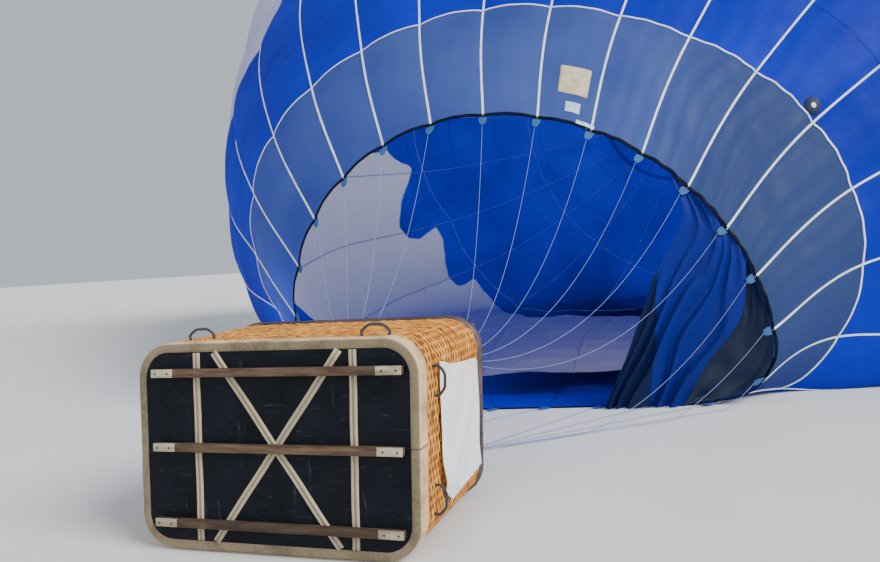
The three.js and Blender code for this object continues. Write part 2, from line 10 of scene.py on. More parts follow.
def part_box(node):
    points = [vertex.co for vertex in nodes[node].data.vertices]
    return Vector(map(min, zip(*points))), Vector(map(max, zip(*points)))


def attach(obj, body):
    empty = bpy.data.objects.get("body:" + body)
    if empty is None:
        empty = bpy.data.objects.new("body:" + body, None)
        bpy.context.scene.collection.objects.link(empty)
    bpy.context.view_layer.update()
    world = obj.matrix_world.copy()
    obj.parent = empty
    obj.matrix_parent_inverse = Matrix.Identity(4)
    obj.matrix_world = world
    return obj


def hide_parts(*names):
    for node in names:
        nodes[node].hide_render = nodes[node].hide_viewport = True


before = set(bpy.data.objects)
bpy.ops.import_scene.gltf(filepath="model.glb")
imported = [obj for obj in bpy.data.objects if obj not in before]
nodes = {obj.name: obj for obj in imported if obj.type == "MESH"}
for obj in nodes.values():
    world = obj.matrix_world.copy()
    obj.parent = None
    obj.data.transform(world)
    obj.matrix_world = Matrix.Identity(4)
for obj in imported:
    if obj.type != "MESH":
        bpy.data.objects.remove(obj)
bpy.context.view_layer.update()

frameLow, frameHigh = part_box("load_frame")
middleX = (frameLow.x + frameHigh.x) / 2   # of the burner's frame, from which the mouth is set out
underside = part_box("floor_board")[0].y     # the floor board's outer face
hairline = 0.0003                          # keeps faces that touch out of one plane
print("frame loaded:", len(nodes), "nodes")


def fromFrame(x, y, z):
    # a place counted from the frame's middle, the basket's underside and the ground
    return Vector((middleX + x, underside + y, z))


# Camera, lights and floor
camera = {
    "place": (2.200, -3.682, 1.704),
    "heading": 16.81,                      # degrees, to the left of +Y
    "pitch": -1.816,
    "roll": -3.507,
    "lens": 29.16,
    "sensor": 36,
}
studio = {
    "key": {"from": (1.0, -0.36, 0.80), "strength": 4.6, "softness": 30},
    "fill": {"from": (-0.15, -1.0, 0.40), "strength": 1.3, "softness": 35},
    "world": (0.80, 0.86, 0.95),
    "worldStrength": 0.70,
    "floorHalf": 400,
    "floorDrop": 0.004,                    # the floor lies just under the cloth
    "floor": ((0.60, 0.60, 0.59), (0.66, 0.66, 0.65)),
}


def placeCamera():
    data = bpy.data.cameras.new("camera")
    data.lens = camera["lens"]
    data.sensor_width = camera["sensor"]
    data.clip_end = 500
    lens = bpy.data.objects.new("camera", data)
    bpy.context.scene.collection.objects.link(lens)
    turn = Matrix.Rotation(math.radians(camera["heading"]), 4, "Z")
    turn @= Matrix.Rotation(math.radians(90 + camera["pitch"]), 4, "X")
    turn @= Matrix.Rotation(math.radians(camera["roll"]), 4, "Z")
    lens.matrix_world = Matrix.Translation(fromFrame(*camera["place"])) @ turn
    bpy.context.scene.camera = lens


def hangLight(name, settings):
    data = bpy.data.lights.new(name, "SUN")
    data.energy = settings["strength"]
    data.angle = math.radians(settings["softness"])
    lamp = bpy.data.objects.new(name, data)
    bpy.context.scene.collection.objects.link(lamp)
    lamp.rotation_euler = Vector(settings["from"]).to_track_quat("Z", "Y").to_euler()


def lightWorld():
    world = bpy.data.worlds.new("studio")
    bpy.context.scene.world = world
    world.use_nodes = True
    background = world.node_tree.nodes["Background"]
    background.inputs["Color"].default_value = (*studio["world"], 1)
    background.inputs["Strength"].default_value = studio["worldStrength"]


# Shader maths: a Value is one output socket, and takes Python's operators
class Value:
    def __init__(self, paint, socket):
        self.paint = paint
        self.socket = socket

    def __add__(self, other):
        return self.paint.maths("ADD", self, other)

    __radd__ = __add__

    def __sub__(self, other):
        return self.paint.maths("SUBTRACT", self, other)

    def __rsub__(self, other):
        return self.paint.maths("SUBTRACT", other, self)

    def __mul__(self, other):
        return self.paint.maths("MULTIPLY", self, other)

    __rmul__ = __mul__


class Paint:
    # a material in the making
    def __init__(self, name):
        self.material = bpy.data.materials.new(name)
        self.material.use_nodes = True
        self.tree = self.material.node_tree
        self.shader = self.tree.nodes["Principled BSDF"]
        self.output = self.tree.nodes["Material Output"]

    def node(self, kind, settings=None, inputs=None, output=0):
        node = self.tree.nodes.new(kind)
        for key, value in (settings or {}).items():
            if key == "stops":
                self.setStops(node.color_ramp, value)
            else:
                setattr(node, key, value)
        for key, value in (inputs or {}).items():
            self.fill(node.inputs[key], value)
        return Value(self, node.outputs[output])

    def setStops(self, ramp, stops):
        while len(ramp.elements) < len(stops):
            ramp.elements.new(0.5)
        for element, (position, color) in zip(ramp.elements, stops):
            element.position = position
            element.color = (*color, 1) if len(color) == 3 else color

    def fill(self, socket, value):
        if isinstance(value, Value):
            self.tree.links.new(value.socket, socket)
        elif value is not None:
            isColor = isinstance(value, tuple) and socket.type == "RGBA"
            socket.default_value = (*value, 1) if isColor else value

    def maths(self, operation, *values):
        return self.node("ShaderNodeMath", {"operation": operation}, dict(enumerate(values)))

    def uv(self, layer="cloth"):
        cloth = self.node("ShaderNodeUVMap", {"uv_map": layer})
        apart = self.node("ShaderNodeSeparateXYZ", {}, {0: cloth}).socket.node
        return Value(self, apart.outputs[0]), Value(self, apart.outputs[1])

    def noise(self, scale, detail, stretch=(1, 1, 1), roughness=0.5):
        where = self.node("ShaderNodeTexCoord", output="Object")
        place = self.node("ShaderNodeMapping", {}, {"Vector": where, "Scale": stretch})
        return self.node("ShaderNodeTexNoise", {}, {
            "Vector": place, "Scale": scale, "Detail": detail, "Roughness": roughness})

    def range(self, value, low, high, to=(0, 1)):
        return self.node("ShaderNodeMapRange", {"interpolation_type": "SMOOTHSTEP"}, {
            "Value": value, "From Min": low, "From Max": high, "To Min": to[0], "To Max": to[1]})

    def ramp(self, value, stops):
        return self.node("ShaderNodeValToRGB", {"stops": stops}, {0: value})

    def mix(self, factor, first, second):
        return self.node("ShaderNodeMix", {"data_type": "RGBA"}, {0: factor, 6: first, 7: second}, output=2)

    def bump(self, height, strength, distance):
        return self.node("ShaderNodeBump", {}, {"Height": height, "Strength": strength, "Distance": distance})

    def finish(self, **sockets):
        for name, value in sockets.items():
            self.fill(self.shader.inputs[name.replace("_", " ")], value)
        return self.material

    def glowThrough(self, color, share):
        # thin cloth passes part of the light that falls on its other side
        through = self.node("ShaderNodeBsdfTranslucent", {}, {"Color": color})
        both = self.node("ShaderNodeMixShader", {}, {0: share, 2: through})
        self.tree.links.new(self.shader.outputs[0], both.socket.node.inputs[1])
        self.tree.links.new(both.socket, self.output.inputs["Surface"])


# Meshes
def gridFaces(rows, columns, closeRows=False, closeColumns=False):
    r = np.arange(rows if closeRows else rows - 1)[:, None]
    c = np.arange(columns if closeColumns else columns - 1)[None, :]
    nextRow, nextColumn = (r + 1) % rows, (c + 1) % columns
    quads = np.stack(np.broadcast_arrays(
        r * columns + c, r * columns + nextColumn, nextRow * columns + nextColumn, nextRow * columns + c), -1)
    return quads.reshape(-1, 4)


def sheetOf(rows):
    return rows, gridFaces(*rows.shape[:2])


def loopOf(rows):
    # closed in both directions
    return rows, gridFaces(*rows.shape[:2], True, True)


def bar(rows):
    # a closed bar from rows of section points: its sides and two ends
    rows = np.asarray(rows)
    count, columns = rows.shape[:2]
    faces = gridFaces(count, columns, closeColumns=True).tolist()
    faces += [list(range(columns))[::-1], [(count - 1) * columns + c for c in range(columns)]]
    return rows, faces


def makePiece(name, grid, material, replaces=None, body="root", uv=None, field=None, smooth=True):
    # grid: points and faces; uv and field: a place for each point
    points, faces = grid
    mesh = bpy.data.meshes.new(name)
    mesh.from_pydata(np.asarray(points, float).reshape(-1, 3).tolist(), [], [list(f) for f in faces])
    loops = np.zeros(len(mesh.loops), int)
    mesh.loops.foreach_get("vertex_index", loops)
    for layerName, places in (("cloth", uv), ("field", field)):
        if places is not None:
            layer = mesh.uv_layers.new(name=layerName)
            layer.data.foreach_set("uv", np.asarray(places, float).reshape(-1, 2)[loops].ravel())
    mesh.polygons.foreach_set("use_smooth", [smooth] * len(mesh.polygons))
    for item in material if isinstance(material, list) else [material]:
        mesh.materials.append(item)
    piece = bpy.data.objects.new(name, mesh)
    bpy.context.scene.collection.objects.link(piece)
    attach(piece, body)
    if replaces:
        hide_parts(replaces)
    return piece


def joinGrids(grids):
    # several (points, faces) lists as one
    points, faces, count = [], [], 0
    for some, quads in grids:
        some = np.asarray(some, float).reshape(-1, 3)
        points.append(some)
        faces += [[i + count for i in quad] for quad in quads]
        count += len(some)
    return np.concatenate(points), faces


def unit(vectors):
    return vectors / np.linalg.norm(vectors, axis=-1, keepdims=True)


def turnsOf(count):
    # the angles of a ring's points
    return np.arange(count) * 2 * math.pi / count


def lengthAlong(points):
    # from the first point to each one
    return np.concatenate(([0], np.cumsum(np.linalg.norm(np.diff(points, axis=0), axis=-1))))


def spline(a, b, c, d, u):
    # Catmull-Rom, from b to c
    return 0.5 * (2 * b + (c - a) * u + (2 * a - 5 * b + 4 * c - d) * u * u
                  + (3 * b - a - 3 * c + d) * u ** 3)


def keptAbove(points, height):
    points[..., 2] = np.maximum(points[..., 2], height)
    return points


def waves(a, b, count, longest, shortest, seed):
    # a smooth uneven field between about -1 and 1
    draw = np.random.default_rng(seed)
    total = np.zeros(np.broadcast(a, b).shape)
    for _ in range(count):
        size = 2 * math.pi / draw.uniform(shortest, longest)
        angle, phase = draw.uniform(0, math.pi), draw.uniform(0, 2 * math.pi)
        total = total + np.sin(size * (math.cos(angle) * a + math.sin(angle) * b) + phase)
    return total / math.sqrt(count)


# The envelope's shape, as in the frame: y: station, x: middle, half: half width, waist: height
# of the widest line, top and low: heights of the oval's ends, back: how far the low end lies
# behind the top one, side: how far the +X side lies back, lean: how far the top lies to +X.
envelope = {
    "gores": 24,
    "firstSeam": 0.13,                     # in gores, from the top
    "groundBlend": 0.25,                   # height over which the cloth rounds off to the ground
    "swell": 0.045,                        # of a gore between its seams, as a share of its width
    "fullSwell": 1.5,                      # height from which it swells fully
    "ringTape": 1,
    "ventEdge": 9,
    "points": 721,                         # round an outline
    "keys": ("y", "x", "half", "waist", "top", "low", "back", "side", "lean"),
    "sections": np.array((
        (3.750, 0.800, 2.510, 0.760, 3.180, -0.420, 0.310, 0.290, -0.335),
        (4.890, 0.695, 3.605, 1.920, 4.660, -0.715, -0.125, 0.045, -0.435),
        (7.185, 0.710, 5.650, 2.570, 7.465, -2.000, -0.925, -0.665, -0.530),
        (10.155, 0.930, 7.735, 4.075, 10.095, -1.935, 0.655, -0.140, -0.120),
        (12.340, 1.240, 9.160, 5.005, 12.510, -2.200, 0.575, -0.355, -0.105),
        (14.8, 1.85, 9.70, 5.75, 14.2, -1.80, 0.90, -0.55, 0),
        (17.1, 2.40, 9.30, 6.05, 14.1, -1.10, 1.20, -0.60, 0),
        (19.1, 2.90, 7.60, 6.20, 12.7, 0.10, 1.20, -0.45, 0),
        (20.6, 3.25, 5.15, 6.20, 10.8, 1.80, 0.90, -0.30, 0),
        (21.4, 3.45, 2.55, 6.20, 8.55, 3.90, 0.45, -0.15, 0),
        (21.7, 3.50, 0, 6.20, 6.20, 6.20, 0, 0, 0),
    )),
}


def sectionAt(t):
    rows = envelope["sections"]
    i = min(int(t), len(rows) - 2)
    mixed = spline(rows[max(i - 1, 0)], rows[i], rows[i + 1], rows[min(i + 2, len(rows) - 1)], t - i)
    return dict(zip(envelope["keys"], mixed))


def liftedByGround(z):
    blend = envelope["groundBlend"]
    return np.where(z < -blend, 0, np.where(z < blend, (z + blend) ** 2 / (4 * blend), z))


outlines = {}


def outlineAt(t):
    t = float(t)
    if t not in outlines:
        s = sectionAt(t)
        angle = np.linspace(0, 2 * math.pi, envelope["points"])
        cos, sin = np.cos(angle), np.sin(angle)
        reach = np.where(cos > 0, s["top"] - s["waist"], s["waist"] - s["low"])
        points = np.stack((
            middleX + s["x"] + s["half"] * sin + s["lean"] * cos,
            underside + s["y"] + s["back"] * (1 - cos) / 2 + s["side"] * sin,
            liftedByGround(s["waist"] + reach * cos)), -1)
        outlines[t] = points, lengthAlong(points[:, ::2])
    return outlines[t]


def onEnvelope(stations, gores):
    # gores: one row of gore numbers, or a row for each station
    gores = np.broadcast_to(gores, (len(stations), np.shape(gores)[-1]))
    rows = []
    for t, row in zip(stations, gores):
        points, girth = outlineAt(t)
        wanted = ((row + envelope["firstSeam"]) / envelope["gores"] % 1) * girth[-1]
        rows.append(np.stack([np.interp(wanted, girth, points[:, i]) for i in range(3)], -1))
    return np.array(rows)


def envelopeNormals(stations, gores):
    last = len(envelope["sections"]) - 1.01
    stations = np.asarray(stations, float)
    later = onEnvelope(np.minimum(stations + 0.02, last), gores)
    sooner = onEnvelope(np.clip(stations - 0.02, 0, last - 0.04), gores)
    right, left = onEnvelope(stations, gores + 0.05), onEnvelope(stations, gores - 0.05)
    normals = np.cross(right - left, later - sooner)
    return normals / np.maximum(np.linalg.norm(normals, axis=-1, keepdims=True), 1e-9)


def meridianLengths():
    # mean distance from the mouth along the cloth, at each station
    stations = np.linspace(0, len(envelope["sections"]) - 1, 401)
    lines = onEnvelope(stations, np.arange(0, envelope["gores"], 2.0))
    steps = np.linalg.norm(np.diff(lines, axis=0), axis=-1).mean(axis=1)
    return stations, np.concatenate(([0], np.cumsum(steps)))


lengthStations, lengthTable = meridianLengths()


def lengthTo(t):
    return np.interp(t, lengthStations, lengthTable)


# Cloth relief: what the fabric does between its seams
relief = {
    "pucker": 0.022,                       # ridges across the load tapes
    "puckerReach": 0.28,
    "puckerPitch": 0.46,
    "gather": 0.018,                       # folds that run back from the mouth
    "gatherReach": 1.6,
    "billow": 0.022,                       # broad unevenness
    "groundRipple": 0.035,
    "groundHeight": 0.30,
    "seamHold": 0.035,                     # metres beside a seam in which it holds the cloth flat
    "calmStations": 2,                     # the mouth is held by its edge and its ring tape
    "calmest": 0.2,
    "gatherAt": 4.5,                       # the gore where the folds at the mouth are deepest
    "gatherWidth": 2.2,
}


def clothRelief(stations, gores, base):
    s = relief
    gores = np.broadcast_to(gores, base.shape[:2])
    t = np.broadcast_to(np.asarray(stations, float)[:, None], base.shape[:2])
    girth = np.array([outlineAt(station)[1][-1] for station in stations])[:, None]
    width = girth / envelope["gores"]
    u = gores % 1
    along = lengthTo(t)
    height = base[..., 2]
    free = np.clip(height / envelope["fullSwell"], 0, 1)
    rise = envelope["swell"] * width * 4 * u * (1 - u) * free
    seam = np.minimum(u, 1 - u) * width
    held = 1 - np.exp(-seam / s["seamHold"])
    uneven = 0.55 + 0.45 * waves(along, gores * 1.7, 4, 3.2, 1.1, 11)
    phase = np.floor(gores) * 2.3 + waves(along, gores, 3, 2.5, 1.0, 12)
    calm = np.clip(t / s["calmStations"], s["calmest"], 1)
    rise = rise + (s["pucker"] * np.exp(-seam / s["puckerReach"]) * held * uneven * free * calm
                   * np.sin(2 * math.pi * along / s["puckerPitch"] + phase))
    fold = np.sin(2 * math.pi * (u * 3 + 0.25 * waves(along, gores, 3, 2.6, 0.9, 13)) + gores)
    deepest = np.exp(-((gores - s["gatherAt"]) / s["gatherWidth"]) ** 2)
    nearMouth = np.exp(-t / s["gatherReach"]) * (0.12 + 0.88 * deepest)
    rise = rise + s["gather"] * fold * nearMouth * held * np.clip(width / 0.9, 0.4, 1) * free
    rise = rise + s["billow"] * waves(along * 0.8, gores * 0.9, 6, 3.5, 0.8, 14) * free * held * calm
    onGround = 1 - np.clip(height / s["groundHeight"], 0, 1)
    ripple = np.clip(waves(base[..., 0] * 0.55, base[..., 1], 7, 1.3, 0.32, 15), 0, 2) ** 1.5
    return rise - s["groundRipple"] * ripple * onGround * held


def onCloth(stations, gores, outward=0.0):
    base = onEnvelope(stations, gores)
    rise = clothRelief(stations, gores, base) + outward
    return keptAbove(base + envelopeNormals(stations, gores) * rise[..., None], 0)


def clothUv(stations, gores):
    gores = np.broadcast_to(gores, (len(stations), np.shape(gores)[-1]))
    return np.stack((gores, np.broadcast_to(lengthTo(stations)[:, None], gores.shape)), -1)


def flatArea(points):
    first = np.cross(points[1:, :-1] - points[:-1, :-1], points[1:, 1:] - points[:-1, :-1])
    second = np.cross(points[1:, 1:] - points[:-1, :-1], points[:-1, 1:] - points[:-1, :-1])
    return float((np.linalg.norm(first, axis=-1) + np.linalg.norm(second, axis=-1)).sum() / 2)


# Cloth and webbing finishes
def stripes(paint, value, pitch, width):
    # 1 on lines a pitch apart, falling to 0 at a width from them
    away = paint.maths("PINGPONG", value, pitch / 2)
    return 1 - paint.range(away, 0, width)


blueCloth = {
    "deep": (0.007, 0.024, 0.47),
    "bright": (0.012, 0.050, 0.72),
    "seam": (0.002, 0.009, 0.15),
    "white": (0.80, 0.81, 0.82),
    "whiteSeam": (0.46, 0.48, 0.50),
    "paintedLightGroundWhite": (1.0, 0.90, 0.66),      # painted light: lighter and warmer than the clean white, where the cloth lies on the ground in the mouth's shade
    "paintedWallShade": (0.001, 0.003, 0.040),         # painted shade on the lower right wall, above the white field
    "paintedWallShadeReach": 5.0,                      # reach of the painted shade, in metres from the white field's edge
    "panel": 1.32,                         # height of a panel along the gore
    "seamWidth": 0.022,
    "through": 0.60,
    "goreWidth": 2.0,                      # metres to a gore, to measure the field's edge by
    # corners of the white field: gore, metres from the mouth
    "field": (
        (17.40, 17.82), (17.27, 17.97), (17.17, 18.23), (17.10, 18.43), (16.87, 18.18), (16.63, 17.82),
        (16.30, 17.36), (16.10, 17.07), (15.90, 17.07), (15.83, 17.41), (15.90, 17.77), (15.97, 18.18),
        (15.73, 18.07), (15.47, 17.77), (15.23, 17.36), (15.00, 17.02), (14.83, 16.97), (14.80, 17.22),
        (14.83, 17.67), (14.60, 17.46), (14.37, 17.22), (14.10, 16.87), (13.37, 14.37), (13.07, 13.58),
        (12.70, 13.46), (12.23, 13.29), (11.77, 12.92), (11.0, 12.6), (10.2, 11.8), (9.7, 10.4),
        (9.55, 8.5), (9.6, 6.0), (9.8, 5.2), (10.5, 4.9), (11.33, 4.76), (11.70, 4.46),
        (12.13, 4.31), (12.57, 4.17), (13.03, 3.90), (14.0, 6.5), (15.07, 8.96), (15.23, 9.15),
        (15.40, 9.09), (15.57, 8.89), (15.73, 8.75), (15.93, 8.46), (16.07, 8.14), (16.5, 6.0),
        (16.8, 4.6), (17.3, 3.2), (17.45, 5.6), (17.9, 6.6), (18.6, 6.0), (19.6, 4.8),
        (20.5, 5.3), (20.7, 7.0), (20.2, 9.5), (19.6, 12.0), (18.6, 14.2), (17.8, 15.6), (17.35, 17.3),
    ),
}


def fieldUv(stations, gores):
    # first axis: metres from the white field's edge, negative inside it
    along = lengthTo(stations)[:, None]
    size = np.array((blueCloth["goreWidth"], 1.0))
    at = np.stack(np.broadcast_arrays(gores[None, :], along), -1) * size
    corners = np.array(blueCloth["field"]) * size
    away = np.full(at.shape[:-1], np.inf)
    inside = np.zeros(at.shape[:-1], bool)
    for a, b in zip(corners, np.roll(corners, -1, axis=0)):
        line = b - a
        share = np.clip((at - a) @ line / (line @ line), 0, 1)
        away = np.minimum(away, np.linalg.norm(at - a - share[..., None] * line, axis=-1))
        level = (at[..., 1] - a[1]) / np.where(line[1] == 0, 1, line[1])
        inside ^= ((a[1] > at[..., 1]) != (b[1] > at[..., 1])) & (at[..., 0] < a[0] + level * line[0])
    away = np.where(inside, -away, away)
    return np.stack((away, np.zeros_like(away)), -1)


def makeBlueCloth(name, white=False, bright=1.0, through=blueCloth["through"]):
    s = blueCloth
    paint = Paint(name)
    gore, along = paint.uv()
    # bright above 1 paints light in: a lighter copy of the same cloth
    shades = [tuple(min(c * bright, 1) for c in s[key]) for key in ("deep", "bright", "seam")]
    cloth = paint.ramp(paint.noise(0.5, 5), [(0.3, shades[0]), (0.72, shades[1])])
    goreSeam = stripes(paint, gore, 1, 0.010)
    panelSeam = stripes(paint, along, s["panel"], s["seamWidth"])
    seams = paint.maths("MAXIMUM", goreSeam, panelSeam * 0.55)
    color = paint.mix(seams * 0.8, cloth, shades[2])
    if white:
        away, _ = paint.uv("field")
        edge = away + (paint.noise(2.4, 3) - 0.5) * 0.10
        # painted light on the gores that lie on the ground, fading out towards the left wall
        clean = paint.mix(paint.range(gore, 11.5, 14.5), s["paintedLightGroundWhite"], s["white"])
        whiteCloth = paint.mix(seams * 0.7, clean, s["whiteSeam"])
        # painted shade: dark beside the white field's edge, fading out over its reach, but not on the gores
        # that lie on the ground
        lit = paint.maths("MAXIMUM", paint.range(away, 0, s["paintedWallShadeReach"]), paint.range(gore, 11.5, 14))
        color = paint.mix(lit, s["paintedWallShade"], color)
        color = paint.mix(paint.range(edge, -0.03, 0.03), whiteCloth, color)
    crease = paint.noise(2.2, 6, roughness=0.62)
    fine = paint.noise(46, 2)
    height = crease * 0.8 + fine * 0.03 + seams * 0.12
    paint.glowThrough(color, through)
    return paint.finish(
        Base_Color=color, Roughness=paint.range(crease, 0.3, 0.7, (0.48, 0.62)),
        Specular_IOR_Level=0.14, Normal=paint.bump(height, 0.35, 0.05))


bandCloth = {
    "shade": (0.046, 0.084, 0.160),
    "light": (0.080, 0.134, 0.238),
    "seam": (0.040, 0.072, 0.135),
    "through": 0.48,
    "passed": (0.90, 0.95, 1.0),           # colour of the light that comes through
    "right": (0.030, 0.056, 0.100),        # painted shade, on the side away from the light
    # the light that comes through there, greyer: painted shade as well
    "paintedShadePassed": (0.46, 0.54, 0.60),
}


def makeBandCloth(name, paintedLightLevel=1.0):
    s = bandCloth
    paint = Paint(name)
    gore, _ = paint.uv()
    # a level under 1 darkens the cloth and the light it passes, as painted shade
    shade, light, paintedRightShade = [tuple(c * paintedLightLevel for c in s[key]) for key in ("shade", "light", "right")]
    cloth = paint.ramp(paint.noise(0.9, 5), [(0.3, shade), (0.7, light)])
    seams = stripes(paint, gore, 0.5, 0.012)
    color = paint.mix(seams * 0.25, cloth, s["seam"])
    # painted shade: the +X gores, away from the key light, darker and passing greyer light
    right = paint.range(gore, 2.2, 5.0) * (1 - paint.range(gore, 10, 12))
    color = paint.mix(right * 0.7, color, paintedRightShade)
    crease = paint.noise(3.0, 6, (1.6, 0.5, 0.5), 0.6)
    paint.glowThrough(paint.mix(right, s["passed"], s["paintedShadePassed"]), s["through"] * paintedLightLevel)
    return paint.finish(
        Base_Color=color, Roughness=paint.range(crease, 0.3, 0.7, (0.55, 0.72)),
        Specular_IOR_Level=0.2, Normal=paint.bump(crease * 0.7 + paint.noise(50, 2) * 0.04, 0.3, 0.04))


def makeWebbing(name, color, worn, gloss=0.25):
    # flat woven tape
    paint = Paint(name)
    dirt = paint.noise(6, 5)
    pitch = 0.006
    across = paint.noise(1 / pitch, 1, (1, 0.25, 1))
    base = paint.mix(paint.range(dirt, 0.35, 0.75), color, worn)
    return paint.finish(
        Base_Color=base, Roughness=paint.range(across, 0.3, 0.7, (0.62, 0.80)),
        Specular_IOR_Level=gloss, Normal=paint.bump(across, 0.4, 0.002))


print("cloth finishes")
blueOutside = makeBlueCloth("envelope_cloth", white=True)
ventCloth = makeBlueCloth("vent_cloth")
# the lining: the envelope cloth twice as bright and passing more light, as painted light inside the mouth's
# shade
paintedLightLiningCloth = makeBlueCloth("mouth_lining_painted_light_cloth", bright=2.0, through=0.85)
greyBand = makeBandCloth("mouth_band_cloth")
# the band folded in: the band cloth at a fifth of its brightness and passing less light, as painted shade
paintedShadeFoldedCloth = makeBandCloth("folded_band_painted_shade_cloth", paintedLightLevel=0.2)
whiteTape = makeWebbing("load_tape_webbing", (0.70, 0.73, 0.76), (0.55, 0.58, 0.62))
blackTape = makeWebbing("mouth_edge_webbing", (0.002, 0.003, 0.008), (0.007, 0.008, 0.016), 0.06)
tabTape = makeWebbing("wire_tab_webbing", (0.024, 0.095, 0.25), (0.016, 0.065, 0.18))


# Envelope: one stretched sheet for each pair of gores
skin = {
    "columns": 15,                         # across one gore
    "rows": 190,
    "bunched": 0.6,                        # columns drawn towards the seams
    "bandRows": 34,
    "bandColumns": 22,
    "bandThickness": 0.006,
}


def goreColumns(first, count, columns):
    k = np.arange(columns) / columns
    u = k * (1 - skin["bunched"]) + skin["bunched"] * (0.5 - 0.5 * np.cos(math.pi * k))
    return np.concatenate([first + i + u for i in range(count)] + [[first + count]])


def declareSheet(cloth):
    # its flat size is measured along the cloth
    flatArea(cloth)


def makeGorePairs():
    for i in range(envelope["gores"] // 2):
        gores = goreColumns(2 * i, 2, skin["columns"])
        stations = np.linspace(envelope["ringTape"], envelope["ventEdge"], skin["rows"])
        piece = makePiece(f"envelope_gores_{i + 1}", sheetOf(onCloth(stations, gores)), blueOutside,
                          f"gore_pair_{i + 1}",
                          uv=clothUv(stations, gores), field=fieldUv(stations, gores))
        declareSheet(onEnvelope(stations, gores))


def makeShell(name, outer, inner, materials, uv, replaces=None):
    # two grids of the same size, closed along their edges; the inner one has its own finish
    quads = gridFaces(*outer.shape[:2])
    count = outer.shape[0] * outer.shape[1]
    faces = quads.tolist() + (quads[:, ::-1] + count).tolist()
    index = np.arange(count).reshape(outer.shape[:2])
    rim = [*index[:, 0], *index[-1, 1:], *index[-2::-1, -1], *index[0, -2:0:-1]]
    faces += [[a, b, b + count, a + count] for a, b in zip(rim, rim[1:] + rim[:1])]
    piece = makePiece(name, (np.concatenate((outer, inner)), faces), materials,
                      replaces, uv=np.concatenate((uv, uv)))
    slots = np.zeros(len(faces), np.int32)
    slots[len(quads):2 * len(quads)] = 1
    piece.data.polygons.foreach_set("material_index", slots)
    return piece


def makeMouthBands():
    quarter = envelope["gores"] // 4
    for i in range(4):
        gores = goreColumns(i * quarter, quarter, skin["bandColumns"])
        stations = np.linspace(0, envelope["ringTape"], skin["bandRows"])
        outer = onCloth(stations, gores)
        inner = outer - envelopeNormals(stations, gores) * skin["bandThickness"]
        piece = makeShell(f"mouth_band_cloth_{i + 1}", outer, inner, [greyBand, paintedLightLiningCloth],
                          clothUv(stations, gores), f"mouth_band_{i + 1}")
        declareSheet(onEnvelope(stations, gores))


# Load tapes along the seams, and the tapes that run round the envelope
tapes = {
    "width": 0.024,
    "low": -0.003,
    "high": 0.007,
    "stations": 300,
    "offGround": 0.001,
    "clothLies": 0.002,                    # cloth below this height lies on the ground
    "underCloth": (-0.006, -0.001),        # heights of a tape under such cloth
    "ringWidth": 0.020,
    "ringSection": (-0.001, 0.009),
    # the tapes that run round inside: gore and station, from place to place
    "inner": (
        ((0, 6.7), (7, 6.6), (10, 5.8), (12, 5.15), (13, 5.2), (14.1, 6.22), (15, 6.44), (16, 6.7),
         (24, 6.7)),
        ((0, 8.04), (8, 7.8), (11, 7.4), (12.4, 7.4), (13.8, 7.72), (15.1, 7.9), (15.8, 7.98),
         (16.9, 8.04), (24, 8.04)),
    ),
    "innerWidth": 0.030,
    "innerSection": (-0.014, -0.006),
    "edgeWidth": 0.046,
    "edgeThickness": 0.016,
    "edgeSides": 10,
    "edgePerGore": 16,
}


def tapeSection(centre, side, normal, width, low, high):
    # the four corners of a flat tape's section, at one place or at many
    return np.stack([centre + side * width * a + normal * n
                     for a, n in ((-0.5, low), (0.5, low), (0.5, high), (-0.5, high))], -2)


def tapeAlong(gore, stations, width, low, high):
    here, after, before = [np.array([gore + step]) for step in (0.0, 0.02, -0.02)]
    centre = onCloth(stations, here)[:, 0]
    side = unit((onEnvelope(stations, after) - onEnvelope(stations, before))[:, 0])
    rows = tapeSection(centre, side, envelopeNormals(stations, here)[:, 0], width, low, high)
    under = centre[:, 2] < tapes["clothLies"]
    rows[under, :, 2] = np.clip(rows[under, :, 2], *tapes["underCloth"])
    return bar(rows)


def tapeRound(route, width, low, high):
    # route: gore and station, from place to place
    gores = goreColumns(0, envelope["gores"], skin["columns"])[:-1]
    rows = []
    for gore, t in zip(gores, np.interp(gores, *zip(*route))):
        here = np.array([gore])
        ahead = unit(onEnvelope([t + 0.01], here)[0, 0] - onEnvelope([t - 0.01], here)[0, 0])
        rows.append(tapeSection(onCloth([t], here)[0, 0], ahead, envelopeNormals([t], here)[0, 0],
                                width, low, high))
    return loopOf(keptAbove(np.array(rows), tapes["offGround"]))


def makeTapes():
    s = tapes
    stations = np.linspace(0, vent["from"], s["stations"])
    grids = [tapeAlong(g, stations, s["width"], s["low"], s["high"]) for g in range(envelope["gores"])]
    makePiece("load_tapes", joinGrids(grids), whiteTape, smooth=False)
    ring = (0, envelope["ringTape"]), (envelope["gores"], envelope["ringTape"])
    grids = [tapeRound(ring, s["ringWidth"], *s["ringSection"])]
    grids += [tapeRound(route, s["innerWidth"], *s["innerSection"]) for route in s["inner"]]
    makePiece("ring_tapes", joinGrids(grids), whiteTape, smooth=False)


def makeMouthEdge():
    # black webbing folded over the mouth's edge
    s = tapes
    gores = np.arange(envelope["gores"] * s["edgePerGore"]) / s["edgePerGore"]
    centre = onCloth([0.0], gores)[0]
    normal = envelopeNormals([0.0], gores)[0]
    ahead = unit((onEnvelope([0.02], gores) - onEnvelope([0.0], gores))[0])
    half, thick = s["edgeWidth"] / 2, s["edgeThickness"] / 2
    rows = np.stack([centre + ahead * (half * 0.55 + half * math.cos(a)) + normal * thick * math.sin(a)
                     for a in turnsOf(s["edgeSides"])], 1)
    makePiece("mouth_edge", loopOf(keptAbove(rows, 0)), blackTape)


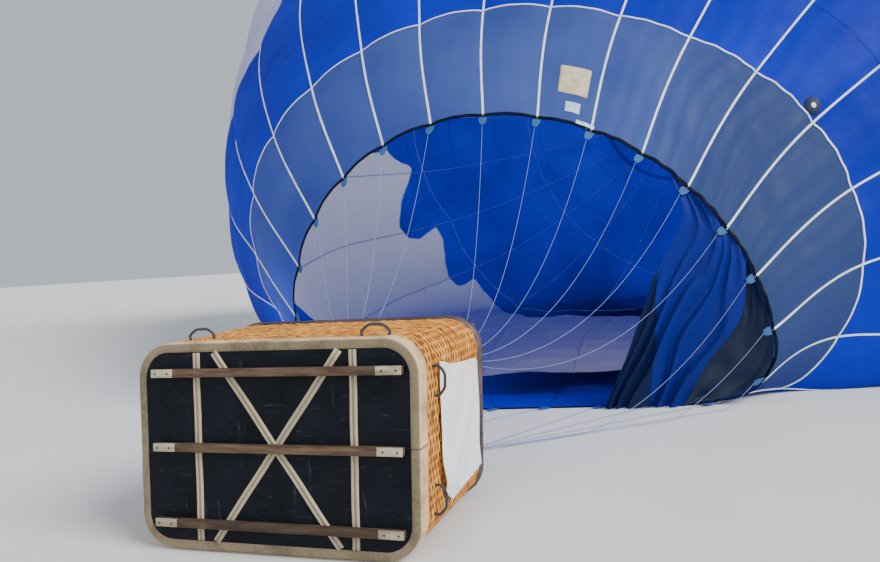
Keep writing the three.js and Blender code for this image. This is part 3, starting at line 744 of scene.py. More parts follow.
# Flying wires: from a tab on each load tape to the corners of the load frame
wires = {
    "radius": 0.0027,
    "sag": 0.17,                           # slack, as the mouth stands near the basket
    "steps": 28,
    "tabLength": 0.11,
    "tabWidth": (0.085, 0.05),
    "tabThickness": 0.008,
    "plate": (0.012, 0.060, 0.044),
    "hole": 0.016,                         # the wires' knot, below the plate's far end
    "pitch": 0.007,                        # between neighbouring wires in the knot
    "inFromEdge": 0.004,
    "offGround": 0.012,
    "shades": ((0.19, 0.24, 0.47), (0.13, 0.17, 0.36)),
}


def roundTube(path, radius, sides, hint=(0.31, 0.17, 0.93)):
    # radius: one for all, or one for each place and side; hint: a way that the path doesn't run
    path = np.asarray(path, float)
    ahead = unit(np.gradient(path, axis=0))
    side = unit(np.cross(ahead, np.array(hint, float)))
    up = np.cross(side, ahead)
    turns = turnsOf(sides)[None, :, None]
    reach = np.broadcast_to(radius, (len(path), sides))[..., None]
    return bar(path[:, None] + reach * (side[:, None] * np.cos(turns) + up[:, None] * np.sin(turns)))


def frameCorner(quarter):
    # the foot of a corner's plate, on the load frame's block
    inset = burner["frame"]["blockInset"] + burner["frame"]["tube"]
    x = (frameHigh.x - inset) if quarter in (0, 1) else (frameLow.x + inset)
    z = (frameHigh.z - inset) if quarter in (0, 3) else (frameLow.z + inset)
    return np.array([x, frameHigh.y + hairline, z])


def makeFlyingWires():
    s = wires
    steel = makeCableSteel()
    perCorner = envelope["gores"] // 4
    width, height, depth = s["plate"]
    half = np.array((width / 2, 0, depth / 2))
    share = np.linspace(0, 1, s["steps"])[:, None]
    tabs = []
    for quarter in range(4):
        foot = frameCorner(quarter)
        side = 1 if quarter in (0, 1) else -1
        lines = [chamferedBlock(foot - half, foot + half + (0, height, 0), 0.002)]
        for i in range(perCorner):
            gore = np.array([float(quarter * perCorner + i)])
            knot = foot + (0, height - s["hole"], side * s["pitch"] * ((perCorner - 1) / 2 - i))
            normal = envelopeNormals([0.0], gore)[0, 0]
            edge = onCloth([0.0], gore)[0, 0] - normal * s["inFromEdge"]
            back = unit(knot - edge)
            tabs.append(wireTab(edge, back, normal))
            start = edge + back * s["tabLength"] * 0.9
            path = start + (knot - start) * share
            path[:, 2:] -= s["sag"] * np.linalg.norm(knot - start) * 4 * share * (1 - share)
            lines.append(roundTube(keptAbove(path, s["offGround"]), s["radius"], 6))
        makePiece(f"wire_fan_{quarter + 1}", joinGrids(lines), steel, f"flying_wires_{quarter + 1}")
    makePiece("wire_tabs", joinGrids(tabs), tabTape, smooth=False)


def wireTab(edge, back, normal):
    s = wires
    across = unit(np.cross(back, normal))
    face = np.cross(across, back)
    wide, narrow = s["tabWidth"]
    half = s["tabThickness"] / 2
    rows = [tapeSection(edge + back * s["tabLength"] * share, across, face, width, -half, half)
            for share, width in ((-0.25, wide), (0.55, wide), (1, narrow))]
    return bar(keptAbove(np.array(rows), tapes["offGround"]))


def makeCableSteel():
    paint = Paint("flying_wire_sleeve")
    twist = paint.noise(140, 2)
    return paint.finish(Base_Color=paint.mix(paint.range(twist, 0.35, 0.65), *wires["shades"]),
                        Metallic=0.15, Roughness=0.5, Normal=paint.bump(twist, 0.3, 0.001))


# Vent and crown
vent = {
    "from": 8.95,
    "to": 9.985,
    "rows": 26,
    "inside": -0.016,
    "tapeStations": 40,
    "tapeWidth": 0.026,
    "tapeSection": (0.0005, 0.008),
    "tapesFrom": 8.9,
    "ringAt": 9.89,
    "ringRadius": 0.012,
    "ringSides": 12,
}


def makeVentAndCrown():
    s = vent
    gores = goreColumns(0, envelope["gores"], 6)[:-1]
    stations = np.linspace(s["from"], s["to"], s["rows"])
    base = onEnvelope(stations, gores)
    rise = clothRelief(stations, gores, base) + s["inside"]
    points = base + envelopeNormals(stations, gores) * rise[..., None]
    grid = np.concatenate((points.reshape(-1, 3), [points[-1].mean(axis=0)]))
    faces = gridFaces(*points.shape[:2], closeColumns=True).tolist()
    last = (len(stations) - 1) * len(gores)
    faces += [[last + c, last + (c + 1) % len(gores), len(grid) - 1] for c in range(len(gores))]
    uv = np.concatenate((clothUv(stations, gores).reshape(-1, 2), [[0, lengthTable[-1]]]))
    piece = makePiece("vent_cloth", (grid, faces), ventCloth, "parachute_vent", "vent", uv)
    ring = np.concatenate((points, points[:, :1]), axis=1)
    flatArea(ring)
    stations = np.linspace(s["tapesFrom"], s["ringAt"], s["tapeStations"])
    seams = np.arange(float(envelope["gores"]))
    grids = [tapeAlong(g, stations, s["tapeWidth"], *s["tapeSection"]) for g in seams]
    centre = onCloth([s["ringAt"]], seams)[0]
    normal = envelopeNormals([s["ringAt"]], seams)[0]
    outward = unit(centre - centre.mean(axis=0))
    radius = s["ringRadius"]
    ring = np.stack([centre + normal * radius + radius * (outward * math.cos(a) + normal * math.sin(a))
                     for a in turnsOf(s["ringSides"])], 1)
    makePiece("crown_webbing", joinGrids(grids + [loopOf(ring)]), whiteTape, "crown_ring")


# Basket: places round its wall, from the middle of the side it lies on
basket = {
    "middleX": -0.036,
    "halfX": 0.916,
    "halfZ": 0.63,
    "girth": 5.82,
    "flare": 0.0585,                       # how much wider it gets along X towards its rim
    "rack": 0.0486,                        # how far it leans to +X, because the wicker gives
    "corner": 0.21,
    "wall": 0.035,
    "foot": 0.0183,
    "depth": 1.12,
    "midZ": 0.6486,
}


def asItLies(points):
    # from places in the square basket: from its middle, its underside and the ground
    points = np.array(points, float)
    wider = 1 + basket["flare"] * np.maximum(points[..., 1], 0)
    points[..., 0] = middleX + basket["middleX"] + points[..., 0] * wider + basket["rack"] * points[..., 2]
    points[..., 1] += underside
    return points


def lying(grids):
    return joinGrids([(asItLies(points), faces) for points, faces in grids])


def cornerTurns(x, z, step):
    # round the four corners of a rectangle: a corner's centre and the way out
    return [(sx * x, sz * z, math.cos(math.radians(degrees)), math.sin(math.radians(degrees)))
            for i, (sx, sz) in enumerate(((1, -1), (1, 1), (-1, 1), (-1, -1)))
            for degrees in range(90 * i - 90, 90 * i + 1, step)]


def wallLoop(count):
    # places on the wall and the way out there, evenly spaced
    corner = basket["corner"]
    x, z = basket["halfX"] - corner, basket["halfZ"] - corner
    first = (0, -z, 0, -1)
    dense = np.array([first, *cornerTurns(x, z, 2), first], float)
    at = dense[:, :2] + corner * dense[:, 2:]
    length = lengthAlong(at)
    wanted = np.arange(count) * length[-1] / count
    return np.stack([np.interp(wanted, length, column) for column in (*at.T, *dense[:, 2:].T)], -1)


def carriedRound(loop, outward, y):
    # outward and y: section points, for each place of the loop or the same for all
    outward, y = np.broadcast_arrays(np.atleast_2d(outward), np.atleast_2d(y))
    x = loop[:, 0:1] + loop[:, 2:3] * outward
    z = basket["midZ"] + loop[:, 1:2] + loop[:, 3:4] * outward
    return asItLies(np.stack((x, np.broadcast_to(y, x.shape), z), -1))


weave = {
    "stakes": 108,
    "rows": 46,
    "sway": 0.0038,
    "weaver": 0.0052,
    "stake": 0.0045,
    "stakeHalf": 0.011,
    "outside": -0.0062,
    "backDepth": 0.008,
    "insideOut": 0.013,                    # the inside's weave, from the wall's inner face
    "cane": ((0.20, 0.056, 0.005), (0.55, 0.200, 0.018), (0.82, 0.400, 0.080)),
    # painted shade in the gaps of the weave
    "gap": (0.045, 0.014, 0.003),
}


def weaveRelief(stake, row):
    # how far the woven face stands out at a place counted in stakes and rows
    whole = np.floor(row)
    across = 2 * (row - whole) - 1
    uneven = 1 + 0.16 * np.sin(whole * 12.9 + np.floor(stake) * 4.1)
    strand = (weave["sway"] * np.cos(math.pi * (stake + whole)) * uneven
              + weave["weaver"] * np.sqrt(np.maximum(1 - across ** 2, 0)))
    pitch = basket["girth"] / weave["stakes"]
    aside = np.abs((stake + 0.5) % 1 - 0.5) * pitch / weave["stakeHalf"]
    rib = np.where(aside < 1, weave["stake"] * np.sqrt(np.maximum(1 - aside ** 2, 0)), -1)
    return np.maximum(strand, rib)


def makeWeave(name, perStake, perRow, outward, facing, replaces=None):
    s = weave
    loop = wallLoop(s["stakes"] * perStake)
    stake = (np.arange(len(loop)) / perStake)[:, None]
    row = (np.arange(s["rows"] * perRow + 1) / perRow)[None, :]
    y = basket["foot"] + (basket["depth"] - basket["foot"]) * row[0] / s["rows"]
    front = outward + facing * weaveRelief(stake, np.minimum(row, s["rows"] - 1e-6))
    back = np.full((len(loop), 2), outward - facing * s["backDepth"])
    points = carriedRound(loop, np.concatenate((front, back), 1), np.concatenate((y, [y[-1], y[0]]))[None, :])
    uv = np.stack(np.broadcast_arrays(stake, np.concatenate((row[0], [s["rows"], 0]))[None, :]), -1)
    makePiece(name, loopOf(points), cane, replaces, uv=uv)


def makeWicker():
    outside = weave["outside"]
    makeWeave("wicker_outside", 4, 4, outside, 1, "wicker_walls")
    makeWeave("wicker_inside", 2, 2, outside - basket["wall"] + weave["insideOut"], -1)


def makeCane():
    s = weave
    paint = Paint("woven_cane")
    stake, row = paint.uv()
    whole = paint.maths("FLOOR", row)
    side = paint.maths("COSINE", (stake + whole) * math.pi)
    strand = paint.node("ShaderNodeCombineXYZ", {}, {0: stake * 0.35, 1: whole * 1.73, 2: 0.0})
    tint = paint.node("ShaderNodeTexNoise", {}, {"Vector": strand, "Scale": 1.0, "Detail": 3.0})
    color = paint.ramp(tint, [(0.30, s["cane"][0]), (0.47, s["cane"][1]), (0.68, s["cane"][2])])
    color = paint.mix(paint.range(paint.noise(1.6, 4), 0.45, 0.75) * 0.35, color, s["cane"][2])
    # painted shade: dark in the grooves between rows and where a weaver passes behind a stake
    grooveShade = paint.range(paint.maths("ABSOLUTE", (row - whole) * 2 - 1), 0.62, 1.0)
    color = paint.mix(grooveShade * 0.75, color, s["gap"])
    hiddenShade = paint.range(side * -1.0, 0.35, 0.9)
    color = paint.mix(hiddenShade * 0.85, color, s["gap"])
    fibre = paint.noise(160, 2)
    return paint.finish(
        Base_Color=color, Roughness=paint.range(tint, 0.3, 0.7, (0.45, 0.62)),
        Specular_IOR_Level=0.22, Coat_Weight=0.05, Coat_Roughness=0.35, Normal=paint.bump(fibre, 0.25, 0.001))


# Suede binding over the basket's lower edge, with its two rows of stitches
suede = {
    "face": 0.050,
    "depth": 0.120,
    "thickness": 0.0043,
    "round": 0.012,
    "places": 420,
    "seamAt": 0.252,                       # where its ends meet, as a share of the way round
    "stitches": 440,
    "color": (0.185, 0.145, 0.088),
    "worn": (0.085, 0.068, 0.044),
    "lit": (0.33, 0.265, 0.17),
    # painted light: the band's outer side, lighter than its face
    "side": (0.68, 0.47, 0.235),
    "stitch": ((-0.0008, 0), (0.0009, 0.0008), (0.0009, -0.0008)),
    "thread": ((0.10, 0.08, 0.06), (0.24, 0.20, 0.15)),
}


def stitchesRound(count, section):
    # each stitch takes up a third of its pitch; section: (outward, y) of its three edges
    loop = wallLoop(count * 3)
    return [bar(carriedRound(loop[3 * k:3 * k + 2], *np.array(section).T)) for k in range(count)]


def makeSuedeBand():
    s = suede
    loop = wallLoop(s["places"])
    face, thick = s["face"], s["thickness"]
    middle = thick - s["round"]
    arc = [(middle + s["round"] * math.cos(a), -middle + s["round"] * math.sin(a))
           for a in np.radians(np.linspace(-90, 0, 7))]
    section = np.array([
        (-face, -0.0005), (-face, -0.0030), (-face + 0.002, -thick), (-0.030, -thick), *arc,
        (thick, 0.05), (thick, 0.09), (thick, s["depth"] - 0.002),
        (0.0030, s["depth"]), (0.0005, s["depth"]), (0.0005, 0.006), (-0.006, -0.0005)])
    share = np.arange(s["places"]) / s["places"]
    uneven = 0.0011 * waves(share * basket["girth"], 0, 5, 0.5, 0.12, 21)
    lap = 0.0022 * np.clip(1 - np.abs(share - s["seamAt"]) / 0.0035, 0, 1)
    showing = np.array([0, 0.4, 1, 1] + [1] * 7 + [1, 1, 1, 0.4, 0, 0, 0])
    push = (uneven + lap)[:, None] * showing[None, :]
    onFace = np.array([1] * 6 + [0.7, 0.5, 0.3, 0, 0] + [0] * 7)[None, :]
    points = carriedRound(loop, section[:, 0] + push * (1 - onFace), section[:, 1] - push * onFace)
    places = share[:, None] * basket["girth"], np.arange(len(section))[None, :] / 10
    makePiece("suede_binding", loopOf(points), suedeHide, "suede_band",
              uv=np.stack(np.broadcast_arrays(*places), -1))
    stitch = np.array(s["stitch"])
    grids = stitchesRound(s["stitches"], (-face + 0.006, -thick - 0.0006) + stitch[:, ::-1])
    grids += stitchesRound(s["stitches"], (thick + 0.0006, s["depth"] - 0.007) + stitch)
    makePiece("suede_stitches", joinGrids(grids), threadCotton, smooth=False)


def makeSuedeHide():
    s = suede
    paint = Paint("suede_hide")
    nap = paint.noise(95, 4)
    wear = paint.noise(5, 5, roughness=0.6)
    along, section = paint.uv()
    # painted light: the outer side lighter than the face below it
    clean = paint.mix(paint.range(section, 0.55, 0.95), s["color"], s["side"])
    past = paint.maths("ABSOLUTE", along - s["seamAt"] * basket["girth"])
    clean = paint.mix(paint.range(past, 0.003, 0.007), s["worn"], clean)
    color = paint.mix(paint.range(wear, 0.42, 0.72) * 0.8, clean, s["worn"])
    color = paint.mix(paint.range(nap, 0.4, 0.7) * 0.3, color, s["lit"])
    return paint.finish(Base_Color=color, Roughness=0.92, Specular_IOR_Level=0.15, Sheen_Weight=0.15,
                        Sheen_Roughness=0.4, Normal=paint.bump(nap * 0.4 + wear * 0.6, 0.4, 0.003))


def makeThread():
    paint = Paint("waxed_thread")
    return paint.finish(Base_Color=paint.mix(paint.noise(40, 2), *suede["thread"]), Roughness=0.6)


# Padded leather roll round the basket's rim
padding = {
    "halfOut": 0.0393,
    "halfDepth": 0.043,
    "outward": -0.0207,
    "places": 520,
    "sides": 26,
    "stitches": 330,
    "stitchAt": (0.955, 3.9),              # share of the roll's radius, angle round it
    "stitch": ((-0.001, 0), (0.001, 0.001), (0.001, -0.001)),
    "hide": ((0.020, 0.012, 0.014), (0.060, 0.036, 0.036), (0.135, 0.085, 0.075)),
}


def makePaddedRim():
    s = padding
    loop = wallLoop(s["places"])
    share = np.arange(s["places"])[:, None] / s["places"]
    angle = turnsOf(s["sides"])[None, :]
    pinch = np.exp(-((angle - 4.1) / 0.16) ** 2) * 0.10
    crumple = 0.018 * waves(share * basket["girth"], angle * 0.06, 8, 0.22, 0.05, 31)
    swell = 1 - pinch + np.where(np.cos(angle) > -0.3, crumple, 0) - 0.015
    middle = basket["depth"] + s["halfDepth"]
    points = carriedRound(loop, s["outward"] + s["halfOut"] * np.cos(angle) * swell,
                          middle + hairline + s["halfDepth"] * np.sin(angle) * swell)
    piece = makePiece("rim_leather", loopOf(points), rimLeather, "padded_rim")
    reach, turn = s["stitchAt"]
    seam = (s["outward"] + reach * s["halfOut"] * math.cos(turn),
            middle + reach * s["halfDepth"] * math.sin(turn))
    grids = stitchesRound(s["stitches"], seam - np.array(s["stitch"])[:, ::-1])
    makePiece("rim_stitches", joinGrids(grids), threadCotton, smooth=False)


def makeHide(name, shades, scale, gloss):
    paint = Paint(name)
    grain = paint.noise(scale, 5, roughness=0.6)
    wear = paint.noise(3.2, 4)
    color = paint.ramp(wear * 0.7 + grain * 0.3, [(0.36, shades[0]), (0.52, shades[1]), (0.70, shades[2])])
    return paint.finish(Base_Color=color, Roughness=paint.range(wear, 0.35, 0.7, (gloss, gloss + 0.18)),
                        Normal=paint.bump(grain, 0.35, 0.002))


# Underside: painted board, battens and runners
underParts = {
    "board": ((0.002, 0.003, 0.005), (0.007, 0.009, 0.014), (0.070, 0.080, 0.095)),
    "battenSection": ((-0.5, 0), (0.5, 0), (0.5, 0.45), (0.36, 0.98), (0.20, 0.92), (0.10, 0.62),
                      (-0.10, 0.62), (-0.20, 0.92), (-0.36, 0.98), (-0.5, 0.45)),
    "battenWidth": 0.046,
    "battenHeight": 0.0117,
    # groove, ridge and worn: painted shade in the middle groove, painted highlight on the folded ridges
    "battenColors": ((0.21, 0.172, 0.112), (0.38, 0.325, 0.225), (0.17, 0.14, 0.10)),
    "battenSteps": 26,
    "upright": (-0.501, 0.526),
    "crossed": ((-0.379, 0.429), (0.441, -0.393)),
    "runnerEnds": (-0.794, 0.835),
    "runnerY": (-0.0526, -0.0126),
    "runnerRows": {"runner_top": 0.458, "runner_middle": 0.005, "runner_low": -0.461},
    "runnerHalf": 0.025,
    "runnerRound": 0.006,
    "runnerShades": ((0.017, 0.008, 0.003), (0.052, 0.027, 0.011), (0.125, 0.076, 0.038)),
    "plateShades": ((0.15, 0.125, 0.08), (0.32, 0.28, 0.19), (0.50, 0.46, 0.34)),
    "plateLength": 0.155,
    "plateOut": 0.0012,
    "screwAt": (0.032, 0.118),
    "screwRadius": 0.0065,
}


def makeBoardPaint():
    s = underParts
    paint = Paint("painted_board")
    dirt = paint.noise(3.4, 6, roughness=0.62)
    scratch = paint.noise(9, 3, (1, 1, 11), 0.7)
    scuff = paint.noise(7, 5, (3.2, 1, 0.6), 0.6)
    color = paint.ramp(dirt, [(0.34, s["board"][0]), (0.70, s["board"][1])])
    color = paint.mix(paint.range(scratch, 0.60, 0.80) * 0.5, color, s["board"][2])
    color = paint.mix(paint.range(scuff, 0.62, 0.78) * 0.45, color, s["board"][2])
    return paint.finish(Base_Color=color, Roughness=paint.range(dirt, 0.35, 0.7, (0.5, 0.7)),
                        Specular_IOR_Level=0.1, Normal=paint.bump(scratch * 0.5 + dirt * 0.5, 0.25, 0.002))


def makeStripHide():
    low, ridgeHighlight, worn = underParts["battenColors"]
    paint = Paint("batten_strip")
    across, _ = paint.uv()
    # painted shade along the middle groove, painted highlight on the folded ridges beside it
    inside = paint.range(paint.maths("ABSOLUTE", across - 0.5), 0.10, 0.20)
    wear = paint.range(paint.noise(7, 4), 0.5, 0.75) * 0.4
    return paint.finish(Base_Color=paint.mix(wear, paint.mix(inside, low, ridgeHighlight), worn), Roughness=0.85,
                        Specular_IOR_Level=0.2, Normal=paint.bump(paint.noise(60, 4), 0.3, 0.002))


def makeTimber(name, shades):
    paint = Paint(name)
    grain = paint.noise(42, 5, (0.12, 1, 1), 0.62)
    worn = paint.noise(4.5, 4, (0.12, 1, 1))
    color = paint.ramp(grain * 0.6 + worn * 0.4, [(0.36, shades[0]), (0.50, shades[1]), (0.66, shades[2])])
    return paint.finish(Base_Color=color, Roughness=0.78, Normal=paint.bump(grain, 0.5, 0.002))


def batten(top, low, lift):
    # a folded strip from (x, z) to (x, z) on the board's outer face
    s = underParts
    top, low = np.array(top, float), np.array(low, float)
    line = unit(low - top)
    side = np.array([-line[1], line[0]])
    rows = []
    for share in np.linspace(0, 1, s["battenSteps"]):
        at = top + (low - top) * share
        sway = 0.0012 * math.sin(share * 17 + top[0] * 9)
        rows.append([(at[0] + side[0] * (a * s["battenWidth"] + sway),
                      -h * (s["battenHeight"] + lift) - (hairline if h else 0),
                      at[1] + side[1] * (a * s["battenWidth"] + sway)) for a, h in s["battenSection"]])
    return bar(rows)


def stripUv(strips):
    s = underParts
    across = [a + 0.5 for a, _ in s["battenSection"]]
    return np.array([(a, r * 0.1) for points, _ in strips for r in range(len(points)) for a in across])


def makeBattens():
    s = underParts
    low, high = [corner.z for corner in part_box("batten_left")]
    ends = [(name, [((x, high), (x, low))]) for name, x in zip(("batten_left", "batten_right"), s["upright"])]
    ends.append(("batten_cross", [((topX, high), (lowX, low)) for topX, lowX in s["crossed"]]))
    for name, lines in ends:
        strips = [batten(*line, lift=-0.0006 * i) for i, line in enumerate(lines)]
        makePiece(name + "_strip", lying(strips), stripHide, name, uv=stripUv(strips))


def roundedBeam(low, high, rounding, steps, seed):
    # a beam along X with worn rounded edges
    low, high = np.array(low, float), np.array(high, float)
    middle, half = (low + high)[1:] / 2, (high - low)[1:] / 2
    section = []
    for i, (sy, sz) in enumerate(((1, 1), (-1, 1), (-1, -1), (1, -1))):
        for k in range(4):
            turn = math.radians(90 * i + 30 * k)
            section.append((sy * (half[0] - rounding) + rounding * math.cos(turn),
                            sz * (half[1] - rounding) + rounding * math.sin(turn)))
    section = np.array(section)
    stations = [low[0], low[0] + rounding * 0.3, *np.linspace(low[0] + rounding, high[0] - rounding, steps),
                high[0] - rounding * 0.3, high[0]]
    draw = np.random.default_rng(seed)
    rows = []
    for i, x in enumerate(stations):
        inset = {0: 0.62, 1: 0.25}.get(min(i, len(stations) - 1 - i), 0) * rounding
        wear = draw.uniform(-0.0007, 0.0007, (len(section), 1)) * (inset == 0)
        out = middle + section * (1 - inset / half) + wear * (0.5, 1)
        rows.append(np.column_stack((np.full(len(section), x), out)))
    return bar(rows)


def dome(centre, radius, height, out, sides=14):
    # a low round head standing on a face, out along one axis
    out = np.array(out, float)
    first = np.array([out[2], out[0], out[1]])
    second = np.cross(out, first)
    rows = []
    for reach, up in ((1, -0.3), (1, 0.35), (0.8, 0.8), (0.4, 1)):
        rows.append([np.array(centre) + out * up * height + radius * reach
                     * (first * math.cos(a) + second * math.sin(a)) for a in turnsOf(sides)])
    return bar(rows)


def makeRunners():
    s = underParts
    first, last = s["runnerEnds"]
    outer, inner = s["runnerY"]
    plates, screws = [], []
    for i, (name, offset) in enumerate(s["runnerRows"].items()):
        z = basket["midZ"] + offset
        low, high = z - s["runnerHalf"], z + s["runnerHalf"]
        beam = roundedBeam((first, outer, low), (last, inner, high), s["runnerRound"], 18, 40 + i)
        makePiece(name + "_timber", lying([beam]), runnerTimber, name)
        for end, way in ((first, 1), (last, -1)):
            near, far = sorted((end + way * 0.002, end + way * s["plateLength"]))
            top = outer - s["plateOut"]
            plates.append(roundedBeam((near, top, low + 0.002), (far, outer + 0.010, high + s["plateOut"]),
                                      0.0025, 6, 50 + i))
            for along in s["screwAt"]:
                screws.append(dome((end + way * along, top, z), s["screwRadius"], 0.0025, (0, -1, 0)))
    makePiece("runner_end_plates", lying(plates), plateTimber)
    makePiece("runner_screws", lying(screws), darkSteel)


# Rope handles: three strands laid round each other
ropes = {
    "radius": 0.0094,
    "sides": 18,
    "steps": 72,
    "lay": 0.046,
    "span": 0.17,
    "rise": 0.066,
    "rows": {"left": (-0.611, 0.230), "right": (0.588, 0.180)},
    "underZ": 0.0093,                      # a handle on the side that the basket lies on
    "endY": 0.240,
    "endZ": {"high": 0.35, "low": -0.35},
    "shade": ((0.006, 0.006, 0.008), (0.035, 0.035, 0.042)),
}


def smoothRoute(points, count):
    # Catmull-Rom through the points, evenly spaced
    points = np.array(points, float)
    ends = np.concatenate(([2 * points[0] - points[1]], points, [2 * points[-1] - points[-2]]))
    dense = []
    for i in range(len(points) - 1):
        a, b, c, d = ends[i:i + 4]
        dense += [spline(a, b, c, d, u) for u in np.arange(24) / 24]
    dense = np.array([*dense, points[-1]])
    length = lengthAlong(dense)
    wanted = np.linspace(0, length[-1], count)
    return np.stack([np.interp(wanted, length, dense[:, i]) for i in range(3)], -1), float(length[-1])


def twistedRope(path, length, radius, sides, lay, hint):
    along = np.linspace(0, length, len(path))[:, None]
    strand = np.abs(np.cos(1.5 * (turnsOf(sides)[None, :] - 2 * math.pi * along / lay)))
    return roundTube(path, radius * (0.80 + 0.20 * strand ** 0.6), sides, hint)


def handleFeet():
    # name: middle of its foot, the way along the wall and the way out
    s = ropes
    feet = {}
    top = basket["midZ"] + basket["halfZ"] + hairline
    for side, (x, y) in s["rows"].items():
        feet[f"handle_top_{side}"] = (x, y, top), (1, 0, 0), (0, 0, 1)
        feet[f"handle_under_{side}"] = (x, y, s["underZ"]), (1, 0, 0), (0, 1, 0)
    for side, way in (("right", 1), ("left", -1)):
        for level, z in s["endZ"].items():
            at = way * (basket["halfX"] + hairline), s["endY"], basket["midZ"] + z
            feet[f"handle_end_{side}_{level}"] = at, (0, 0, 1), (way, 0, 0)
    return feet


def makeHandles():
    s = ropes
    half, rise = s["span"] / 2, s["rise"]
    shape = [(-half, 0), (-half, rise * 0.45), (-half / 2, rise * 0.95), (0, rise),
             (half / 2, rise * 0.95), (half, rise * 0.45), (half, 0)]
    for name, (foot, along, out) in handleFeet().items():
        foot, along, out = [np.array(v, float) for v in (foot, along, out)]
        path, length = smoothRoute([foot + along * a + out * o for a, o in shape], s["steps"])
        grid = twistedRope(asItLies(path), length, s["radius"], s["sides"], s["lay"], np.cross(along, out))
        makePiece(name + "_rope", grid, handleRope, name)


def makeRopeFibre():
    paint = Paint("handle_rope")
    fibre = paint.noise(230, 3)
    return paint.finish(Base_Color=paint.mix(fibre, *ropes["shade"]), Roughness=0.7, Sheen_Weight=0.3,
                        Normal=paint.bump(fibre, 0.4, 0.001))


# Banner on the basket's right end: plain white cloth, tied at its corners
banner = {
    "outline": ((0.302, 1.105), (0.305, 0.78), (0.322, 0.42), (0.365, 0.30), (0.445, 0.228), (0.70, 0.236),
                (0.90, 0.238), (1.066, 0.270), (1.070, 0.65), (1.062, 1.012), (0.80, 1.030), (0.50, 1.052)),
    "gathered": (0.42, 0.25),              # the corner that its folds run to
    "ties": ((0.42, 0.245), (1.05, 0.285), (1.045, 0.995)),
    "tie": ((0, 0, 0), (0.022, -0.010, 0.008), (0.020, 0.012, -0.004), (0.012, 0.002, -0.030)),
    "rows": 44,
    "columns": 44,
    "off": 0.011,
    "folds": 0.010,
    "color": (0.92, 0.91, 0.89),
    "shade": (0.50, 0.62, 0.84),
}


def bannerEdges(share):
    # left and right ends of the cloth at a height, from low to top
    points = np.array(banner["outline"])
    z = points[:, 1].min() + share * (points[:, 1].max() - points[:, 1].min())
    closed = np.concatenate((points, points[:1]))
    crossings = []
    for (y0, z0), (y1, z1) in zip(closed, closed[1:]):
        if (z0 - z) * (z1 - z) <= 0 and z0 != z1:
            crossings.append(y0 + (y1 - y0) * (z - z0) / (z1 - z0))
    return min(crossings), max(crossings), z


def makeBanner():
    s = banner
    rows = []
    for r in np.linspace(0.004, 0.992, s["rows"]):
        left, right, z = bannerEdges(r)
        y = np.linspace(left, right, s["columns"])
        rows.append(np.stack((np.zeros_like(y), y, np.full_like(y, z)), -1))
    flat = np.array(rows)
    y, z = flat[..., 1], flat[..., 2]
    cornerY, cornerZ = s["gathered"]
    corner = np.hypot(y - cornerY, z - cornerZ)
    turn = np.arctan2(z - cornerZ, y - cornerY)
    folds = (s["folds"] * np.exp(-corner / 0.42) * (1 + np.sin(turn * 15 + 1.3))
             * np.clip(corner / 0.08, 0.3, 1))
    slack = 0.0045 * (1 + waves(y * 3, z * 2, 6, 1.1, 0.35, 61))
    sag = 0.006 * (1 + np.sin((y - 0.4) * 9 + z * 4)) * np.clip(1.05 - z, 0, 1)
    x = basket["halfX"] + s["off"] + folds + slack + sag - wallBow(z)
    piece = makePiece("banner_sheet", sheetOf(asItLies(np.stack((x, y, z), -1))), bannerCotton,
                      "banner", uv=np.stack((y, z), -1))
    flatArea(flat)
    knots = []
    for tieY, tieZ in s["ties"]:
        foot = np.array([basket["halfX"] + 0.006, tieY, tieZ])
        path, length = smoothRoute(asItLies(foot + s["tie"]), 20)
        knots.append(twistedRope(path, length, 0.004, 10, 0.02, (0.2, 0.9, 0.3)))
    makePiece("banner_ties", joinGrids(knots), handleRope)


def wallBow(z):
    # how far the basket's corner rounding draws its end wall back at a height
    s = basket
    past = np.clip(np.abs(z - s["midZ"]) - (s["halfZ"] - s["corner"]), 0, s["corner"])
    return s["corner"] - np.sqrt(np.maximum(s["corner"] ** 2 - past ** 2, 0))


def makeBannerCotton():
    s = banner
    paint = Paint("banner_cotton")
    _, up = paint.uv()
    blot = paint.noise(3.5, 4)
    shaded = paint.range(up, 0.30, 0.62, (1, 0)) * paint.range(blot, 0.35, 0.65)
    color = paint.mix(shaded * 0.5, s["color"], s["shade"])
    paint.glowThrough(color, 0.12)
    return paint.finish(Base_Color=color, Roughness=0.8, Sheen_Weight=0.2,
                        Normal=paint.bump(paint.noise(55, 3), 0.2, 0.002))


# Turned pieces, blocks and metals
def turned(profile, centre, sides):
    # profile: (radius, height) points from the middle of one end to the middle of the other
    turns = turnsOf(sides)
    rings = np.array([np.stack((radius * np.sin(turns), np.full(sides, height), radius * np.cos(turns)), -1)
                      for radius, height in profile[1:-1]])
    ends = [(0, profile[0][1], 0), (0, profile[-1][1], 0)]
    faces = gridFaces(len(rings), sides, closeColumns=True).tolist()
    first, last = len(rings) * sides, (len(rings) - 1) * sides
    faces += [[first, (c + 1) % sides, c] for c in range(sides)]
    faces += [[first + 1, last + c, last + (c + 1) % sides] for c in range(sides)]
    return np.concatenate((rings.reshape(-1, 3), ends)) + np.array(centre, float), faces


def turnedRing(section, centre, sides):
    # section: (radius, height) points of a ring that is open in the middle
    rows = [[(radius * math.cos(a), height, radius * math.sin(a)) for radius, height in section]
            for a in turnsOf(sides)]
    return loopOf(np.array(rows) + centre)


